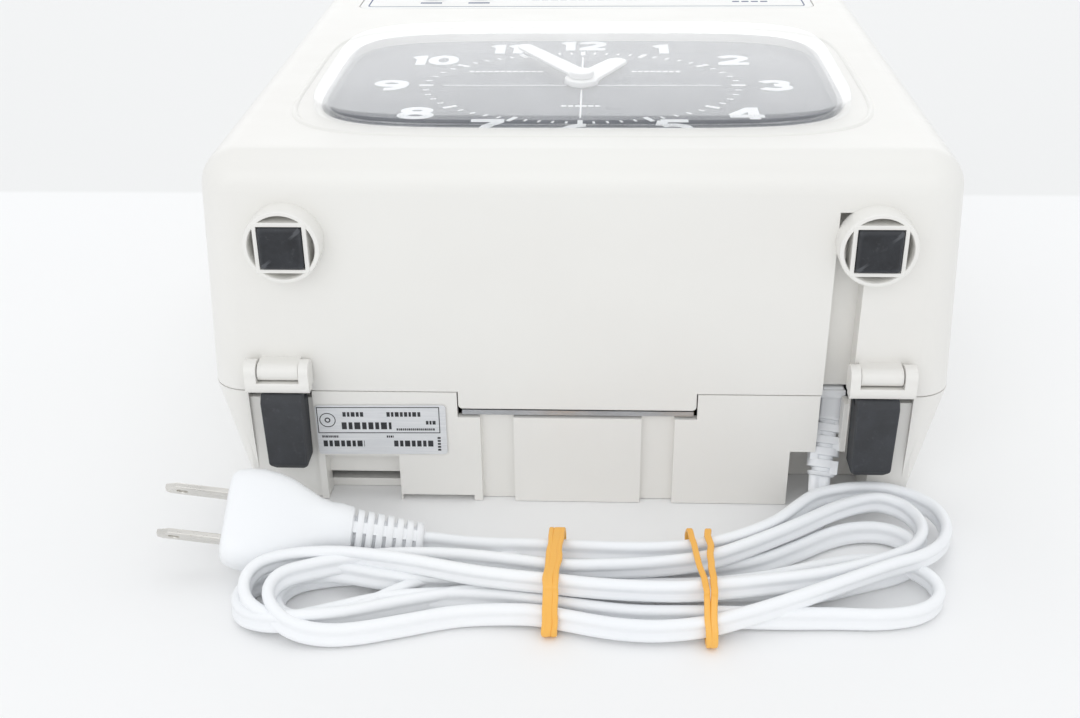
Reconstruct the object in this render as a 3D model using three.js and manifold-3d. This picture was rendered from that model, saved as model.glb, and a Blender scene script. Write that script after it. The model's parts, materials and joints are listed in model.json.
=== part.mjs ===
// Punch time clock lying on its back: dial up (+Z), underside with the feet
// towards -Y, card slot end towards +Y.  Millimetres.  The origin is the middle
// of the clock's footprint on the table.
import * as THREE from 'three';
import { mergeVertices } from 'three/addons/utils/BufferGeometryUtils.js';
import Module from 'manifold-3d';

const wasm = await Module();
wasm.setup();

// ---------------------------------------------------------------- dimensions
const HEIGHT = 228;          // foot pads to top end, along Y
const FOOT_REACH = 7.8;      // front foot pads below the underside
const BODY_LENGTH = HEIGHT - FOOT_REACH;
const UNDERSIDE = -HEIGHT / 2 + FOOT_REACH;   // y of the underside plane
const HALF_WIDTH = 105;      // widest, at the parting line
const FACE_Z = 106;          // front face above the back
const PARTING_Z = 36.8;      // front cover's lower edge
const REAR_TOP_Z = 36.5;     // rear cover's upper edge
const WALL = 2.6;
const EDGE_R = 10;           // long edges of the front cover
const FIT = 0.3;             // gap between parts that touch
const FRONT_DRAFT = 0.0545;  // front cover's sides lean in, mm per mm
const REAR_DRAFT = 0.22;     // rear cover's sides lean in towards the back

const LENS = { a: 78.3, b: 54, n: 5.2, y: 77.4, rise: 4.3, wall: 2, edge: 1.6 };
const OPENING = { a: 76.2, b: 51.9, n: 5.2 };
const DIAL_Y = 76.4;         // hand axis above the underside
const DIAL_TOP_Z = 103.1;
const PANEL = { half: 84.6, y0: 166, y1: 208, depth: 1.4, r: 5 };

const HINGE = { y: -3.7, z: 45, pinR: 1.2, boreR: 1.28, knuckleR: 2.6 };
const HOOK = { x0: 74.6, x1: 92.6, gapX0: 77.6, gapX1: 89.0 };
const FOOT = { x: 78.2, z: 83.4, ringR: 10.3, holeR: 8.9, ring: 6.6, frame: 7.2, pad: 5.9 };
const REAR_FOOT = { x0: 76.9, x1: 88.8, z0: 13.9, z1: 38.9 };
const CORD_SLOT = { x0: 68.5, x1: 76.6, depth: 6.5, top: 91.5 };
const TAB = { x0: -34.0, x1: 33.7, z: 31.2 };

const CARD = { half: 46.5, backZ: 50, railZ: 55.3, frontZ: 55.6 };
const ROLLER = { y: 150, backZ: 46, frontZ: 60.4, r: 4.6 };
const GEAR = { teeth: 24, pinionTeeth: 12, r: 13.333, pinionR: 6.667, x0: 58.8, x1: 62.6 };
const PINION = { y: 134, z: 58 };
const GUIDE_ROD = { y: 177, z: 72, r: 2.5 };
const CARRIAGE_SCREW = { y: 160, z: 72, r: 3 };
const FRAME_X = 52.5;        // inner face of the printer's side frames
const PLATE_Z0 = 29.1;       // chassis plate
const PLATE_Z1 = 30.6;

const MINUTE_ANGLE = 30;     // turned from +Y, degrees, showing 12:55
const HOUR_ANGLE = -27.5;

const PLUG_FACE = [-95, -32, 15.2];
const PLUG_AXIS = [-0.975, -0.1, 0.2];
const PLUG_SPREAD = [0.2, 0.8, 0.59];
const BLADE = { length: 17, width: 6.3, thick: 1.5, spacing: 12.7 };

// ------------------------------------------------------------------- helpers
const Y = (fromUnderside) => UNDERSIDE + fromUnderside;

function solid(geometry) {
  const bare = new THREE.BufferGeometry();
  bare.setAttribute('position', geometry.getAttribute('position'));
  if (geometry.index) bare.setIndex(geometry.index);
  const merged = mergeVertices(bare, 1e-4);
  const mesh = new wasm.Mesh({
    numProp: 3,
    vertProperties: new Float32Array(merged.getAttribute('position').array),
    triVerts: new Uint32Array(merged.index.array),
  });
  return new wasm.Manifold(mesh);
}

function join(...parts) {
  return parts.flat().reduce((sum, part) => sum.add(part));
}

function cut(body, ...tools) {
  return tools.flat().reduce((rest, tool) => rest.subtract(tool), body);
}

// Box between two x, two heights above the underside and two z.
function box(x0, x1, y0, y1, z0, z1) {
  const g = new THREE.BoxGeometry(x1 - x0, y1 - y0, z1 - z0);
  g.translate((x0 + x1) / 2, Y((y0 + y1) / 2), (z0 + z1) / 2);
  return solid(g);
}

function pairX(x0, x1, y0, y1, z0, z1) {
  return [box(x0, x1, y0, y1, z0, z1), box(-x1, -x0, y0, y1, z0, z1)];
}

function rod(axis, r, from, to, c1, c2, sides = 20, rEnd = r) {
  // c1, c2: for 'x' they are height and z, for 'y' x and z, for 'z' x and height
  const g = new THREE.CylinderGeometry(rEnd, r, to - from, sides);
  if (axis === 'y') {
    g.translate(c1, Y((from + to) / 2), c2);
  } else if (axis === 'z') {
    g.rotateX(Math.PI / 2);
    g.translate(c1, Y(c2), (from + to) / 2);
  } else {
    g.rotateZ(-Math.PI / 2);
    g.translate((from + to) / 2, Y(c1), c2);
  }
  return solid(g);
}

function outlineShape(points) {
  return new THREE.Shape(points.map(([x, y]) => new THREE.Vector2(x, y)));
}

function roundRect(x0, x1, y0, y1, r, segments = 4) {
  const corners = [[x1 - r, y0 + r, -90], [x1 - r, y1 - r, 0], [x0 + r, y1 - r, 90], [x0 + r, y0 + r, 180]];
  const points = [];
  for (const [cx, cy, start] of corners) {
    for (let i = 0; i <= segments; i += 1) {
      const angle = (start + (90 * i) / segments) * Math.PI / 180;
      points.push([cx + r * Math.cos(angle), cy + r * Math.sin(angle)]);
    }
  }
  return points;
}

function superellipse(a, b, n, count = 52) {
  const points = [];
  for (let i = 0; i < count; i += 1) {
    const t = (2 * Math.PI * i) / count;
    const c = Math.cos(t);
    const s = Math.sin(t);
    points.push([
      a * Math.sign(c) * Math.abs(c) ** (2 / n),
      b * Math.sign(s) * Math.abs(s) ** (2 / n),
    ]);
  }
  return points;
}

// Extrude an outline along Z; outline y values are heights above the underside.
function slab(points, z0, z1, bevel = 0, bevelSteps = 3, steps = 1) {
  const g = new THREE.ExtrudeGeometry(outlineShape(points), {
    depth: z1 - z0 - 2 * bevel,
    bevelEnabled: bevel > 0,
    bevelSize: bevel,
    bevelThickness: bevel,
    bevelSegments: bevelSteps,
    bevelOffset: -bevel,
    steps,
  });
  g.translate(0, UNDERSIDE, z0 + bevel);
  return g;
}

// Extrude an outline of (height, z) pairs along X.
function profileX(points, x0, x1) {
  const g = new THREE.ExtrudeGeometry(outlineShape(points), { depth: x1 - x0, bevelEnabled: false });
  const turn = new THREE.Matrix4().makeBasis(
    new THREE.Vector3(0, 1, 0), new THREE.Vector3(0, 0, 1), new THREE.Vector3(1, 0, 0));
  g.applyMatrix4(turn);
  g.translate(x0, UNDERSIDE, 0);
  return solid(g);
}

// Extrude an outline of (x, z) pairs along Y.
function profileY(points, y0, y1, bevel = 0) {
  const g = new THREE.ExtrudeGeometry(outlineShape(points), {
    depth: y1 - y0 - 2 * bevel, bevelEnabled: bevel > 0, bevelSize: bevel,
    bevelThickness: bevel, bevelOffset: -bevel, bevelSegments: 2,
  });
  const turn = new THREE.Matrix4().makeBasis(
    new THREE.Vector3(1, 0, 0), new THREE.Vector3(0, 0, 1), new THREE.Vector3(0, -1, 0));
  g.applyMatrix4(turn);
  g.translate(0, Y(y1 - bevel), 0);
  return solid(g);
}

function deform(geometry, change) {
  const p = geometry.getAttribute('position');
  for (let i = 0; i < p.count; i += 1) {
    const [x, y, z] = change(p.getX(i), p.getY(i) - UNDERSIDE, p.getZ(i));
    p.setXYZ(i, x, y + UNDERSIDE, z);
  }
  return geometry;
}

function toothed(teeth, pitchR, x0, x1, y, z, phase) {
  const points = [];
  const pitch = (2 * Math.PI) / teeth;
  for (let i = 0; i < teeth; i += 1) {
    const mid = phase + i * pitch;
    const marks = [[-0.27, -0.75], [-0.13, 0.5], [0.13, 0.5], [0.27, -0.75]];
    for (const [part, reach] of marks) {
      const angle = mid + part * pitch;
      points.push([y + (pitchR + reach) * Math.cos(angle), z + (pitchR + reach) * Math.sin(angle)]);
    }
  }
  return profileX(points, x0, x1);
}

const group = new THREE.Group();
const FINISH = {
  ivory: [0xe8e7e3, 0.45, 0], white: [0xf0f1f3, 0.5, 0], rubber: [0x2b2c2f, 0.8, 0],
  steel: [0xb9bcc0, 0.35, 0.9], clear: [0xdfe6ea, 0.1, 0], dial: [0x2b3444, 0.5, 0],
  label: [0xc9ccd0, 0.4, 0.5], board: [0x2f6a45, 0.6, 0], dark: [0x3a3c40, 0.6, 0],
  brass: [0xc9a95a, 0.35, 0.9], amber: [0xf0a63c, 0.55, 0], copper: [0xb5713a, 0.4, 0.6],
  grey: [0xc4c7cb, 0.5, 0], lamp: [0x3fae5a, 0.3, 0],
};

function piece(name, manifold, finish) {
  const mesh = manifold.getMesh();
  const g = new THREE.BufferGeometry();
  g.setAttribute('position', new THREE.BufferAttribute(new Float32Array(mesh.vertProperties), 3));
  g.setIndex(new THREE.BufferAttribute(new Uint32Array(mesh.triVerts), 1));
  g.computeVertexNormals();
  const [color, roughness, metalness] = FINISH[finish];
  const material = new THREE.MeshStandardMaterial({ color, roughness, metalness });
  if (finish === 'clear') {
    material.transparent = true;
    material.opacity = 0.35;
  }
  const node = new THREE.Mesh(g, material);
  node.name = name;
  group.add(node);
}

// --------------------------------------------------------------- front cover
function frontTaper(x, y, z) {
  return [x * (1 - (z - PARTING_Z) * FRONT_DRAFT / HALF_WIDTH), y, z];
}

function frontBody(inset, edge, top) {
  const points = roundRect(
    -HALF_WIDTH + inset, HALF_WIDTH - inset, inset, BODY_LENGTH - inset, edge + 0.4, 5);
  return solid(deform(slab(points, 8, top, edge, 5), frontTaper));
}

function lensPrism(outline, z0, z1, bevel = 0) {
  const points = superellipse(outline.a, outline.b, outline.n).map(([x, y]) => [x, y + LENS.y]);
  return solid(slab(points, z0, z1, bevel));
}

function grown(outline, by) {
  return { a: outline.a + by, b: outline.b + by, n: outline.n };
}

const buttons = [{ name: 'in_button', x: -58 }, { name: 'out_button', x: -40 }];
const BUTTON = { y: 187, r: 4.6, hole: 5.0 };
const LAMP = { x: 62, y: 187, r: 2.2, hole: 2.5 };
const LOCK = { x: 78, z: 72, r: 5.9, hole: 6.2 };

let cover = cut(frontBody(0, EDGE_R, FACE_Z), frontBody(WALL, EDGE_R - 2, FACE_Z - WALL));
cover = cover.intersect(box(-120, 120, -30, 240, PARTING_Z, 130));
cover = join(
  cover,
  box(TAB.x0, TAB.x1, 0, WALL, TAB.z, PARTING_Z + 1),
  box(CORD_SLOT.x0 - 2.2, CORD_SLOT.x1 + 2.2, 1, CORD_SLOT.depth + 2.2, PARTING_Z, CORD_SLOT.top + 2.2),
);
cover = cut(
  cover,
  box(CORD_SLOT.x0, CORD_SLOT.x1, -1, CORD_SLOT.depth, PARTING_Z - 1, CORD_SLOT.top)
    .subtract(rod('y', FOOT.ringR, -2, 3, FOOT.x, FOOT.z, 32)),
  lensPrism(OPENING, FACE_Z - 6, FACE_Z + 2),
  solid(slab(roundRect(-PANEL.half, PANEL.half, PANEL.y0, PANEL.y1, PANEL.r), FACE_Z - PANEL.depth, FACE_Z + 3)),
  rod('z', BUTTON.hole, 90, 120, buttons[0].x, BUTTON.y, 20),
  rod('z', BUTTON.hole, 90, 120, buttons[1].x, BUTTON.y, 20),
  rod('z', LAMP.hole, 90, 120, LAMP.x, LAMP.y, 14),
  rod('y', LOCK.hole, 205, 230, LOCK.x, LOCK.z, 24),
  profileY(roundRect(-45.5, 45.5, 48.5, 57.5, 1.5, 2), 210, 225),
  profileY(roundRect(-49.3, 49.3, 45.2, 60.8, 3, 3), BODY_LENGTH - 1.2, 230),
  profileY([[-88.3, 30], [-77.4, 30], [-77.4, 40.2], [-88.3, 40.2]], -1, 4),
  profileY([[77.4, 30], [88.3, 30], [88.3, 40.2], [77.4, 40.2]], -1, 4),
);
cover = join(cover, lensPrism(grown(LENS, 5.6), FACE_Z - 0.8, FACE_Z + 0.5)
  .subtract(lensPrism(grown(LENS, 4.4), FACE_Z - 3, FACE_Z + 3)));
for (const side of [-1, 1]) {
  const x = side * FOOT.x;
  const f = FOOT.frame;
  const p = FOOT.pad + 0.2;
  const ring = rod('y', FOOT.ringR, -FOOT.ring, 1, x, FOOT.z, 32)
    .subtract(rod('y', FOOT.holeR, -12, 0, x, FOOT.z, 28));
  const frame = box(x - f, x + f, -FOOT.ring - 0.2, 1, FOOT.z - f, FOOT.z + f)
    .subtract(box(x - p, x + p, -12, 0, FOOT.z - p, FOOT.z + p))
    .intersect(rod('y', FOOT.ringR - 0.3, -12, 2, x, FOOT.z, 32));
  const [k0, k1] = side < 0 ? [-HOOK.gapX1, -HOOK.gapX0] : [HOOK.gapX0, HOOK.gapX1];
  const knuckle = rod('x', HINGE.knuckleR, k0, k1, HINGE.y, HINGE.z, 20)
    .add(box(k0, k1, HINGE.y, 0.5, HINGE.z - 1.4, HINGE.z + 2.6))
    .subtract(rod('x', HINGE.boreR, k0 - 1, k1 + 1, HINGE.y, HINGE.z, 20));
  cover = join(cover, ring, frame, knuckle);
}
piece('front_cover', cover, 'ivory');

for (const [name, side] of [['front_foot_left', -1], ['front_foot_right', 1]]) {
  const x = side * FOOT.x;
  const half = FOOT.pad;
  piece(name, profileY(roundRect(x - half, x + half, FOOT.z - half, FOOT.z + half, 0.9, 2),
    -FOOT_REACH, -FIT, 0.5), 'rubber');
}

const lensShell = join(
  lensPrism(LENS, FACE_Z + FIT, FACE_Z + LENS.rise + LENS.edge, LENS.edge)
    .intersect(box(-100, 100, 0, 160, FACE_Z + FIT + LENS.edge, 130)),
  lensPrism(LENS, FACE_Z + FIT, FACE_Z + 2.4),
  lensPrism(grown(OPENING, -FIT), FACE_Z - 2.2, FACE_Z + 1),
).intersect(box(-100, 100, 0, 160, 100, FACE_Z + LENS.rise));
piece('dial_lens', cut(lensShell,
  lensPrism(grown(OPENING, -2), FACE_Z - 5, FACE_Z + LENS.rise - LENS.wall)), 'clear');

const panelPlate = cut(
  solid(slab(roundRect(-PANEL.half + FIT, PANEL.half - FIT, PANEL.y0 + FIT, PANEL.y1 - FIT, PANEL.r - FIT),
    FACE_Z - PANEL.depth + FIT, FACE_Z)),
  rod('z', BUTTON.hole, 90, 120, buttons[0].x, BUTTON.y, 20),
  rod('z', BUTTON.hole, 90, 120, buttons[1].x, BUTTON.y, 20),
  rod('z', LAMP.hole, 90, 120, LAMP.x, LAMP.y, 14),
);
piece('control_panel', panelPlate, 'grey');
for (const { name, x } of buttons) {
  piece(name, join(
    rod('z', BUTTON.r, 99, FACE_Z + 1.6, x, BUTTON.y, 20),
    rod('z', BUTTON.r + 1.6, 98, 99.4, x, BUTTON.y, 20)), 'grey');
}
piece('power_lamp', join(
  rod('z', LAMP.r, 98.5, FACE_Z + 0.4, LAMP.x, LAMP.y, 14),
  rod('z', LAMP.r + 1, 98, 99.5, LAMP.x, LAMP.y, 14)), 'lamp');

const bezel = cut(
  join(
    profileY(roundRect(-49, 49, 45.5, 60.5, 2.7, 3), BODY_LENGTH - 0.9, BODY_LENGTH),
    profileY(roundRect(-45.2, 45.2, 48.8, 57.2, 1.2, 2), 214.5, BODY_LENGTH - 0.5)),
  profileY(roundRect(-43.9, 43.9, 50.2, 55.6, 0.6, 2), 200, 230),
);
piece('card_slot_bezel', bezel, 'dark');

piece('button_board', join(
  box(-70, 70, 178, 197, 91.5, 93),
  buttons.map(({ x }) => box(x - 3, x + 3, BUTTON.y - 3, BUTTON.y + 3, 92.8, 96.2)),
  rod('z', 1.5, 92.8, 97.6, LAMP.x, LAMP.y, 10),
  [[-67, 181], [67, 181], [-67, 194], [67, 194]].map(([x, y]) => rod('z', 2, 92.8, 103.1, x, y, 10))), 'board');

const lock = cut(
  join(
    rod('y', LOCK.r, 209, BODY_LENGTH - 0.3, LOCK.x, LOCK.z, 24),
    box(LOCK.x - 3, LOCK.x + 3, 207.4, 209.4, LOCK.z - 19, LOCK.z + 5)),
  box(LOCK.x - 0.6, LOCK.x + 0.6, BODY_LENGTH - 4, 230, LOCK.z - 3, LOCK.z + 3),
);
piece('lock_cylinder', lock, 'steel');

// ---------------------------------------------------------------- rear cover
function rearTaper(x, y, z) {
  const round = Math.max(0, 3 - z) ** 2 / 3;
  const half = HALF_WIDTH - REAR_DRAFT * (REAR_TOP_Z - z) - round;
  const length = BODY_LENGTH - 0.12 * (REAR_TOP_Z - z) - round;
  return [x * half / HALF_WIDTH, y * length / BODY_LENGTH, z];
}

function rearBody(inset, z0, z1, steps) {
  const points = roundRect(
    -HALF_WIDTH + inset, HALF_WIDTH - inset, inset, BODY_LENGTH - inset, EDGE_R - inset, 5);
  return solid(deform(slab(points, z0, z1, 0, 1, steps), rearTaper));
}

const bossSpots = [[-88, 30], [88, 30], [-88, 200], [88, 200]];
let rear = rearBody(0, 0, REAR_TOP_Z, 6).subtract(rearBody(WALL, WALL, REAR_TOP_Z + 3, 1));
rear = join(
  rear,
  box(-29, 29, 2, 4.8, 1, 28.4),
  box(-95.6, -74.2, 1.2, 3.8, 1, 34),
  box(75.2, 95.6, 1.2, 3.8, 1, 34),
  box(-75.7, -73.7, 1, 7, 1, 17.1),
  box(-52, -50, 1, 7, 1, 17.1),
  box(-75.7, -50, 1, 7, 15.1, 17.1),
  box(59.4, 61, 1, 18, 1, 19.7),
  box(59.4, 85.6, 16.4, 18, 1, 19.7),
  box(84, 85.6, 1, 18, 1, 19.7),
  box(59.4, 85.6, 1, 18, 18.1, 19.7),
  bossSpots.map(([x, y]) => rod('z', 4.2, 1, 28.8, x, y, 16)),
);
rear = cut(
  rear,
  box(TAB.x0 - FIT, TAB.x1 + FIT, -1, 3, 28.4, 40),
  box(-27.9, -18.3, -1, 2.2, -1, 30),
  box(18.3, 27.7, -1, 2.2, -1, 30),
  box(-51.6, -30.4, -1, 6, -1, 1.8),
  box(-73.7, -52, -1, 7.2, -1, 15.1),
  box(-94, -75.7, -1, 1.2, -1, 40),
  box(76.6, 94, -1, 1.2, -1, 40),
  box(-94, -75.7, -1, 4, 33.9, 40),
  box(76.6, 94, -1, 4, 33.9, 40),
  box(68.2, 76.4, -1, 15, 17, 40),
  box(61, 84, -1, 16.4, -1, 18.1),
  bossSpots.map(([x, y]) => rod('z', 1.75, -1, 26, x, y, 12)),
  bossSpots.map(([x, y]) => rod('z', 3.9, -1, 2.4, x, y, 16)),
  [-60, 60].map((x) => rod('z', 5, -1, 4, x, 184, 20)),
  [-60, 60].map((x) => box(x - 2.5, x + 2.5, 184, 196, -1, 4)),
  [-2, -1, 0, 1, 2].map((i) => box(34, 74, 50 + i * 9 - 1.3, 50 + i * 9 + 1.3, -1, 4)),
);
rear = join(
  rear,
  box(-73.9, -51.8, 5.2, 7, 6.5, 15.4),
  box(75, 76.6, 0.2, 4.8, 18.3, 34),
);
for (const side of [-1, 1]) {
  const span = (a, b) => (side < 0 ? [-b, -a] : [a, b]);
  const [p0, p1] = span(HOOK.x0, HOOK.x1);
  const [a0, a1] = span(78.2, 87.5);
  const plate = profileX([[-7.3, 41.9], [-6.6, 39.6], [-3.3, 39.6], [-3.3, 42.0], [-4.6, 42.3], [-6.9, 42.6]], p0, p1);
  const arm = profileX([[1.3, 30], [3.5, 30], [3.5, 36.6], [-0.6, 40.1], [-3.4, 42.0], [-4.4, 41.2],
    [-3.4, 39.7], [-2.7, 39.6], [1.3, 35.8]], a0, a1);
  const ears = [[HOOK.x0, HOOK.gapX0 - FIT], [HOOK.gapX1 + FIT, HOOK.x1]].map(([e0, e1]) => {
    const [x0, x1] = span(e0, e1);
    return rod('x', 3.4, x0, x1, HINGE.y, HINGE.z, 20)
      .add(profileX([[-7.1, 40.4], [-1.2, 40.4], [-0.4, 45], [-7.1, 45]], x0, x1))
      .subtract(rod('x', HINGE.boreR, span(HOOK.gapX0 - 2.6, HOOK.gapX1 + 2.6)[0],
        span(HOOK.gapX0 - 2.6, HOOK.gapX1 + 2.6)[1], HINGE.y, HINGE.z, 20));
  });
  rear = join(rear, plate, arm, ears);
}
piece('rear_cover', rear, 'ivory');

for (const [name, x0, x1] of [
  ['hinge_pin_left', -91.2, -75.4], ['hinge_pin_right', 75.4, 91.2],
]) {
  piece(name, rod('x', HINGE.pinR, x0, x1, HINGE.y, HINGE.z, 20), 'steel');
}

for (const [name, side] of [['rear_foot_left', -1], ['rear_foot_right', 1]]) {
  const [x0, x1] = side < 0 ? [-REAR_FOOT.x1, -REAR_FOOT.x0] : [REAR_FOOT.x0, REAR_FOOT.x1];
  const outline = [
    [x0, REAR_FOOT.z0 + 4], [x0 + 2.2, REAR_FOOT.z0], [x1 - 2.2, REAR_FOOT.z0],
    [x1, REAR_FOOT.z0 + 4], [x1, REAR_FOOT.z1], [x0, REAR_FOOT.z1],
  ];
  const side2 = profileX([
    [-FOOT_REACH, 16.6], [-5.4, 13.9], [0.9, 13.9], [0.9, 35.6], [-3.4, 35.6],
    [-3.4, REAR_FOOT.z1], [-6.2, REAR_FOOT.z1], [-FOOT_REACH, 36.6],
  ], x0 - 1, x1 + 1);
  piece(name, profileY(outline, -20, 10).intersect(side2), 'rubber');
}

piece('rating_label', solid(slab([[0, 0], [37.6, 0], [37.6, 16.2], [0, 16.2]], 0, 0.35)
  .translate(0, -UNDERSIDE, 0)
  .rotateX(Math.PI / 2)
  .rotateY(-0.012)
  .translate(-75.2, Y(-FIT), 15.9)), 'label');

bossSpots.forEach(([x, y], i) => {
  piece(`case_screw_${i + 1}`, join(
    rod('z', 3.4, 0.5, 2.1, x, y, 16), rod('z', 1.5, 1.8, 24, x, y, 10))
    .subtract(box(x - 2.4, x + 2.4, y - 0.4, y + 0.4, 0, 1.2)), 'steel');
});

// ------------------------------------------------------------------- chassis
piece('chassis_plate', cut(
  join(
    box(-94, 94, 5.4, 206, PLATE_Z0, PLATE_Z1),
    box(-33, 33, 0.6, 6, PLATE_Z0, PLATE_Z1)),
  box(63, 82, 0, 20, 20, 40),
  box(-24, 24, 70, 100, 20, 40),
  [-1, 1].map((s) => rod('z', 9, 20, 40, s * 74, 70, 20)),
  bossSpots.map(([x, y]) => rod('z', 1.6, 20, 40, x, y, 10)),
), 'steel');

piece('main_board', join(
  box(-84, 20, 44, 168, 18, 19.6),
  box(-60, -38, 70, 92, 19, 22),
  box(-20, 4, 120, 132, 19, 27),
  box(-78, -70, 60, 150, 19, 26),
  box(2, 16, 60, 84, 19, 26.5),
  [[-50, 120], [-36, 120], [-22, 96]].map(([x, y]) => rod('z', 4.4, 19, 27.5, x, y, 14)),
  [[-80, 48], [16, 48], [-80, 164], [16, 164]].map(([x, y]) => rod('z', 2.6, 2.9, 18.4, x, y, 10)),
), 'board');

piece('transformer_core', box(30, 76, 30, 74, 8, 22).subtract(box(40, 66, 38, 66, 0, 40)), 'dark');
piece('transformer_winding', join(
  box(40.3, 65.7, 38.3, 65.7, 4, 27), box(38, 68, 36, 68, 22.3, 24.5)), 'copper');

function strainRelief() {
  const top = new THREE.Vector3(72.6, Y(9), 26);
  const end = new THREE.Vector3(70.4, Y(-0.5), 12);
  const length = top.distanceTo(end);
  const profile = [[0, 0]];
  const ribs = 5;
  for (let i = 0; i < ribs; i += 1) {
    const r = 2.9 + 0.15 * i;
    const h = (length / ribs) * i;
    profile.push([r, h], [r, h + length / ribs - 1], [r - 0.8, h + length / ribs - 0.9],
      [r - 0.8, h + length / ribs - 0.1]);
  }
  profile.push([2.9, length + 1], [0, length + 1]);
  const g = new THREE.LatheGeometry(profile.map(([r, h]) => new THREE.Vector2(r, h)), 14);
  g.applyQuaternion(new THREE.Quaternion().setFromUnitVectors(
    new THREE.Vector3(0, 1, 0), top.clone().sub(end).normalize()));
  g.translate(end.x, end.y, end.z);
  return join(solid(g), box(69.4, 75.9, 5.6, 12, 24.5, 36.2));
}
piece('strain_relief', strainRelief(), 'white');

// -------------------------------------------------------- card path and feed
const rollerSpans = [[-34, -24], [24, 34]];
const chuteWindows = rollerSpans.map(([a, b]) => box(a - 1, b + 1, 143, 157, 40, 70));
piece('chute_back', cut(
  join(
    box(-CARD.half, CARD.half, 22, 206, 48.4, CARD.backZ),
    pairX(44.7, CARD.half, 22, 206, CARD.backZ - 0.2, CARD.railZ),
    box(-CARD.half, CARD.half, 22, 24, 48.4, CARD.railZ),
    [[-40, 40], [34, 40], [-40, 100], [34, 100], [-40, 190], [34, 190]]
      .map(([x, y]) => box(x, x + 6, y, y + 6, PLATE_Z1 + FIT, 48.8))),
  chuteWindows), 'steel');
piece('chute_front', cut(
  join(
    box(-CARD.half, CARD.half, 58, 204, CARD.frontZ, 57),
    pairX(46, FRAME_X - FIT, 112, 124, CARD.frontZ, 57),
    pairX(46, FRAME_X - FIT, 182, 190, CARD.frontZ, 57)),
  chuteWindows, box(-43, 43, 163, 177, 50, 60)), 'steel');

function sideFrame(side) {
  const [x0, x1] = side < 0 ? [-FRAME_X - 1.5, -FRAME_X] : [FRAME_X, FRAME_X + 1.5];
  const flange = side < 0
    ? box(-58, x1, 108, 186, PLATE_Z1 + FIT, 32.2)
    : box(x0, 58, 108, 186, PLATE_Z1 + FIT, 32.2);
  const wide = (r, y, z) => rod('x', r, x0 - 10, x1 + 10, y, z, 18);
  const webPlate = profileX([[104, 31], [192, 31], [192, 70], [182, 86], [152, 86], [146, 80], [104, 80]], x0, x1);
  return cut(join(webPlate, flange),
    wide(2.35, ROLLER.y, ROLLER.backZ), wide(1.85, ROLLER.y, ROLLER.frontZ),
    wide(2.6, GUIDE_ROD.y, GUIDE_ROD.z), wide(3.2, CARRIAGE_SCREW.y, CARRIAGE_SCREW.z),
    wide(2.2, PINION.y, PINION.z),
    wide(8, 122, 50));
}
piece('frame_left', sideFrame(-1), 'steel');
piece('frame_right', sideFrame(1), 'steel');

piece('feed_roller', join(
  rod('x', 2, -56, 64, ROLLER.y, ROLLER.backZ, 16),
  rollerSpans.map(([a, b]) => rod('x', ROLLER.r, a, b, ROLLER.y, ROLLER.backZ, 24))), 'rubber');
piece('pinch_roller', join(
  rod('x', 1.5, -55, 55, ROLLER.y, ROLLER.frontZ, 14),
  rollerSpans.map(([a, b]) => rod('x', ROLLER.r, a, b, ROLLER.y, ROLLER.frontZ, 24))), 'rubber');
const meshLine = Math.atan2(PINION.z - ROLLER.backZ, PINION.y - ROLLER.y);
piece('feed_gear', toothed(GEAR.teeth, GEAR.r, GEAR.x0, GEAR.x1, ROLLER.y, ROLLER.backZ, meshLine)
  .subtract(rod('x', 2.1, 40, 80, ROLLER.y, ROLLER.backZ, 16)), 'white');
piece('feed_pinion', join(
  toothed(GEAR.pinionTeeth, GEAR.pinionR, GEAR.x0, GEAR.x1, PINION.y, PINION.z,
    meshLine + Math.PI + Math.PI / GEAR.pinionTeeth),
  rod('x', 1.5, 55.5, 66.6, PINION.y, PINION.z, 12)), 'brass');
piece('feed_motor', join(
  rod('x', 13, 68.2, 92, PINION.y, PINION.z, 24),
  rod('x', 5, 67, 69, PINION.y, PINION.z, 16)).subtract(rod('x', 2, 60, 68, PINION.y, PINION.z, 12)), 'steel');
piece('motor_bracket', cut(join(
  profileX([[118, 31], [150, 31], [150, 66], [143, 74], [125, 74], [118, 66]], 64.6, 66.4),
  box(64.6, 80, 120, 148, PLATE_Z1 + FIT, 32.2)),
rod('x', 5.4, 60, 70, PINION.y, PINION.z, 18),
rod('x', 3, 60, 70, ROLLER.y, ROLLER.backZ, 12)), 'steel');

// ------------------------------------------------------------------- printer
piece('guide_rod', rod('x', GUIDE_ROD.r, -57, 57, GUIDE_ROD.y, GUIDE_ROD.z, 20), 'steel');
piece('carriage_screw', rod('x', CARRIAGE_SCREW.r, -64, 57, CARRIAGE_SCREW.y, CARRIAGE_SCREW.z, 20), 'steel');
piece('carriage_motor', join(
  rod('x', 12, -91, -66.4, CARRIAGE_SCREW.y, CARRIAGE_SCREW.z, 24),
  box(-70, -64.6, 149, 171, PLATE_Z1 + FIT, 62),
  box(-80, -64.6, 149, 171, PLATE_Z1 + FIT, 32.4))
  .subtract(rod('x', 4, -66, -60, CARRIAGE_SCREW.y, CARRIAGE_SCREW.z, 12)), 'steel');
piece('print_carriage', cut(
  join(
    box(-15, 15, 152, 185, 65, 80),
    box(-9, 9, 164, 176, 58.2, 65.5),
    box(-11, 11, 166, 182, 79, 84)),
  rod('x', 2.58, -20, 20, GUIDE_ROD.y, GUIDE_ROD.z, 20),
  rod('x', 3.12, -20, 20, CARRIAGE_SCREW.y, CARRIAGE_SCREW.z, 20)), 'dark');
piece('cassette_tray', join(
  box(-FRAME_X + FIT, FRAME_X - FIT, 106, 142, 60.2, 61.6),
  pairX(50.6, FRAME_X - FIT, 106, 142, 61, 68)), 'steel');
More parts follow.
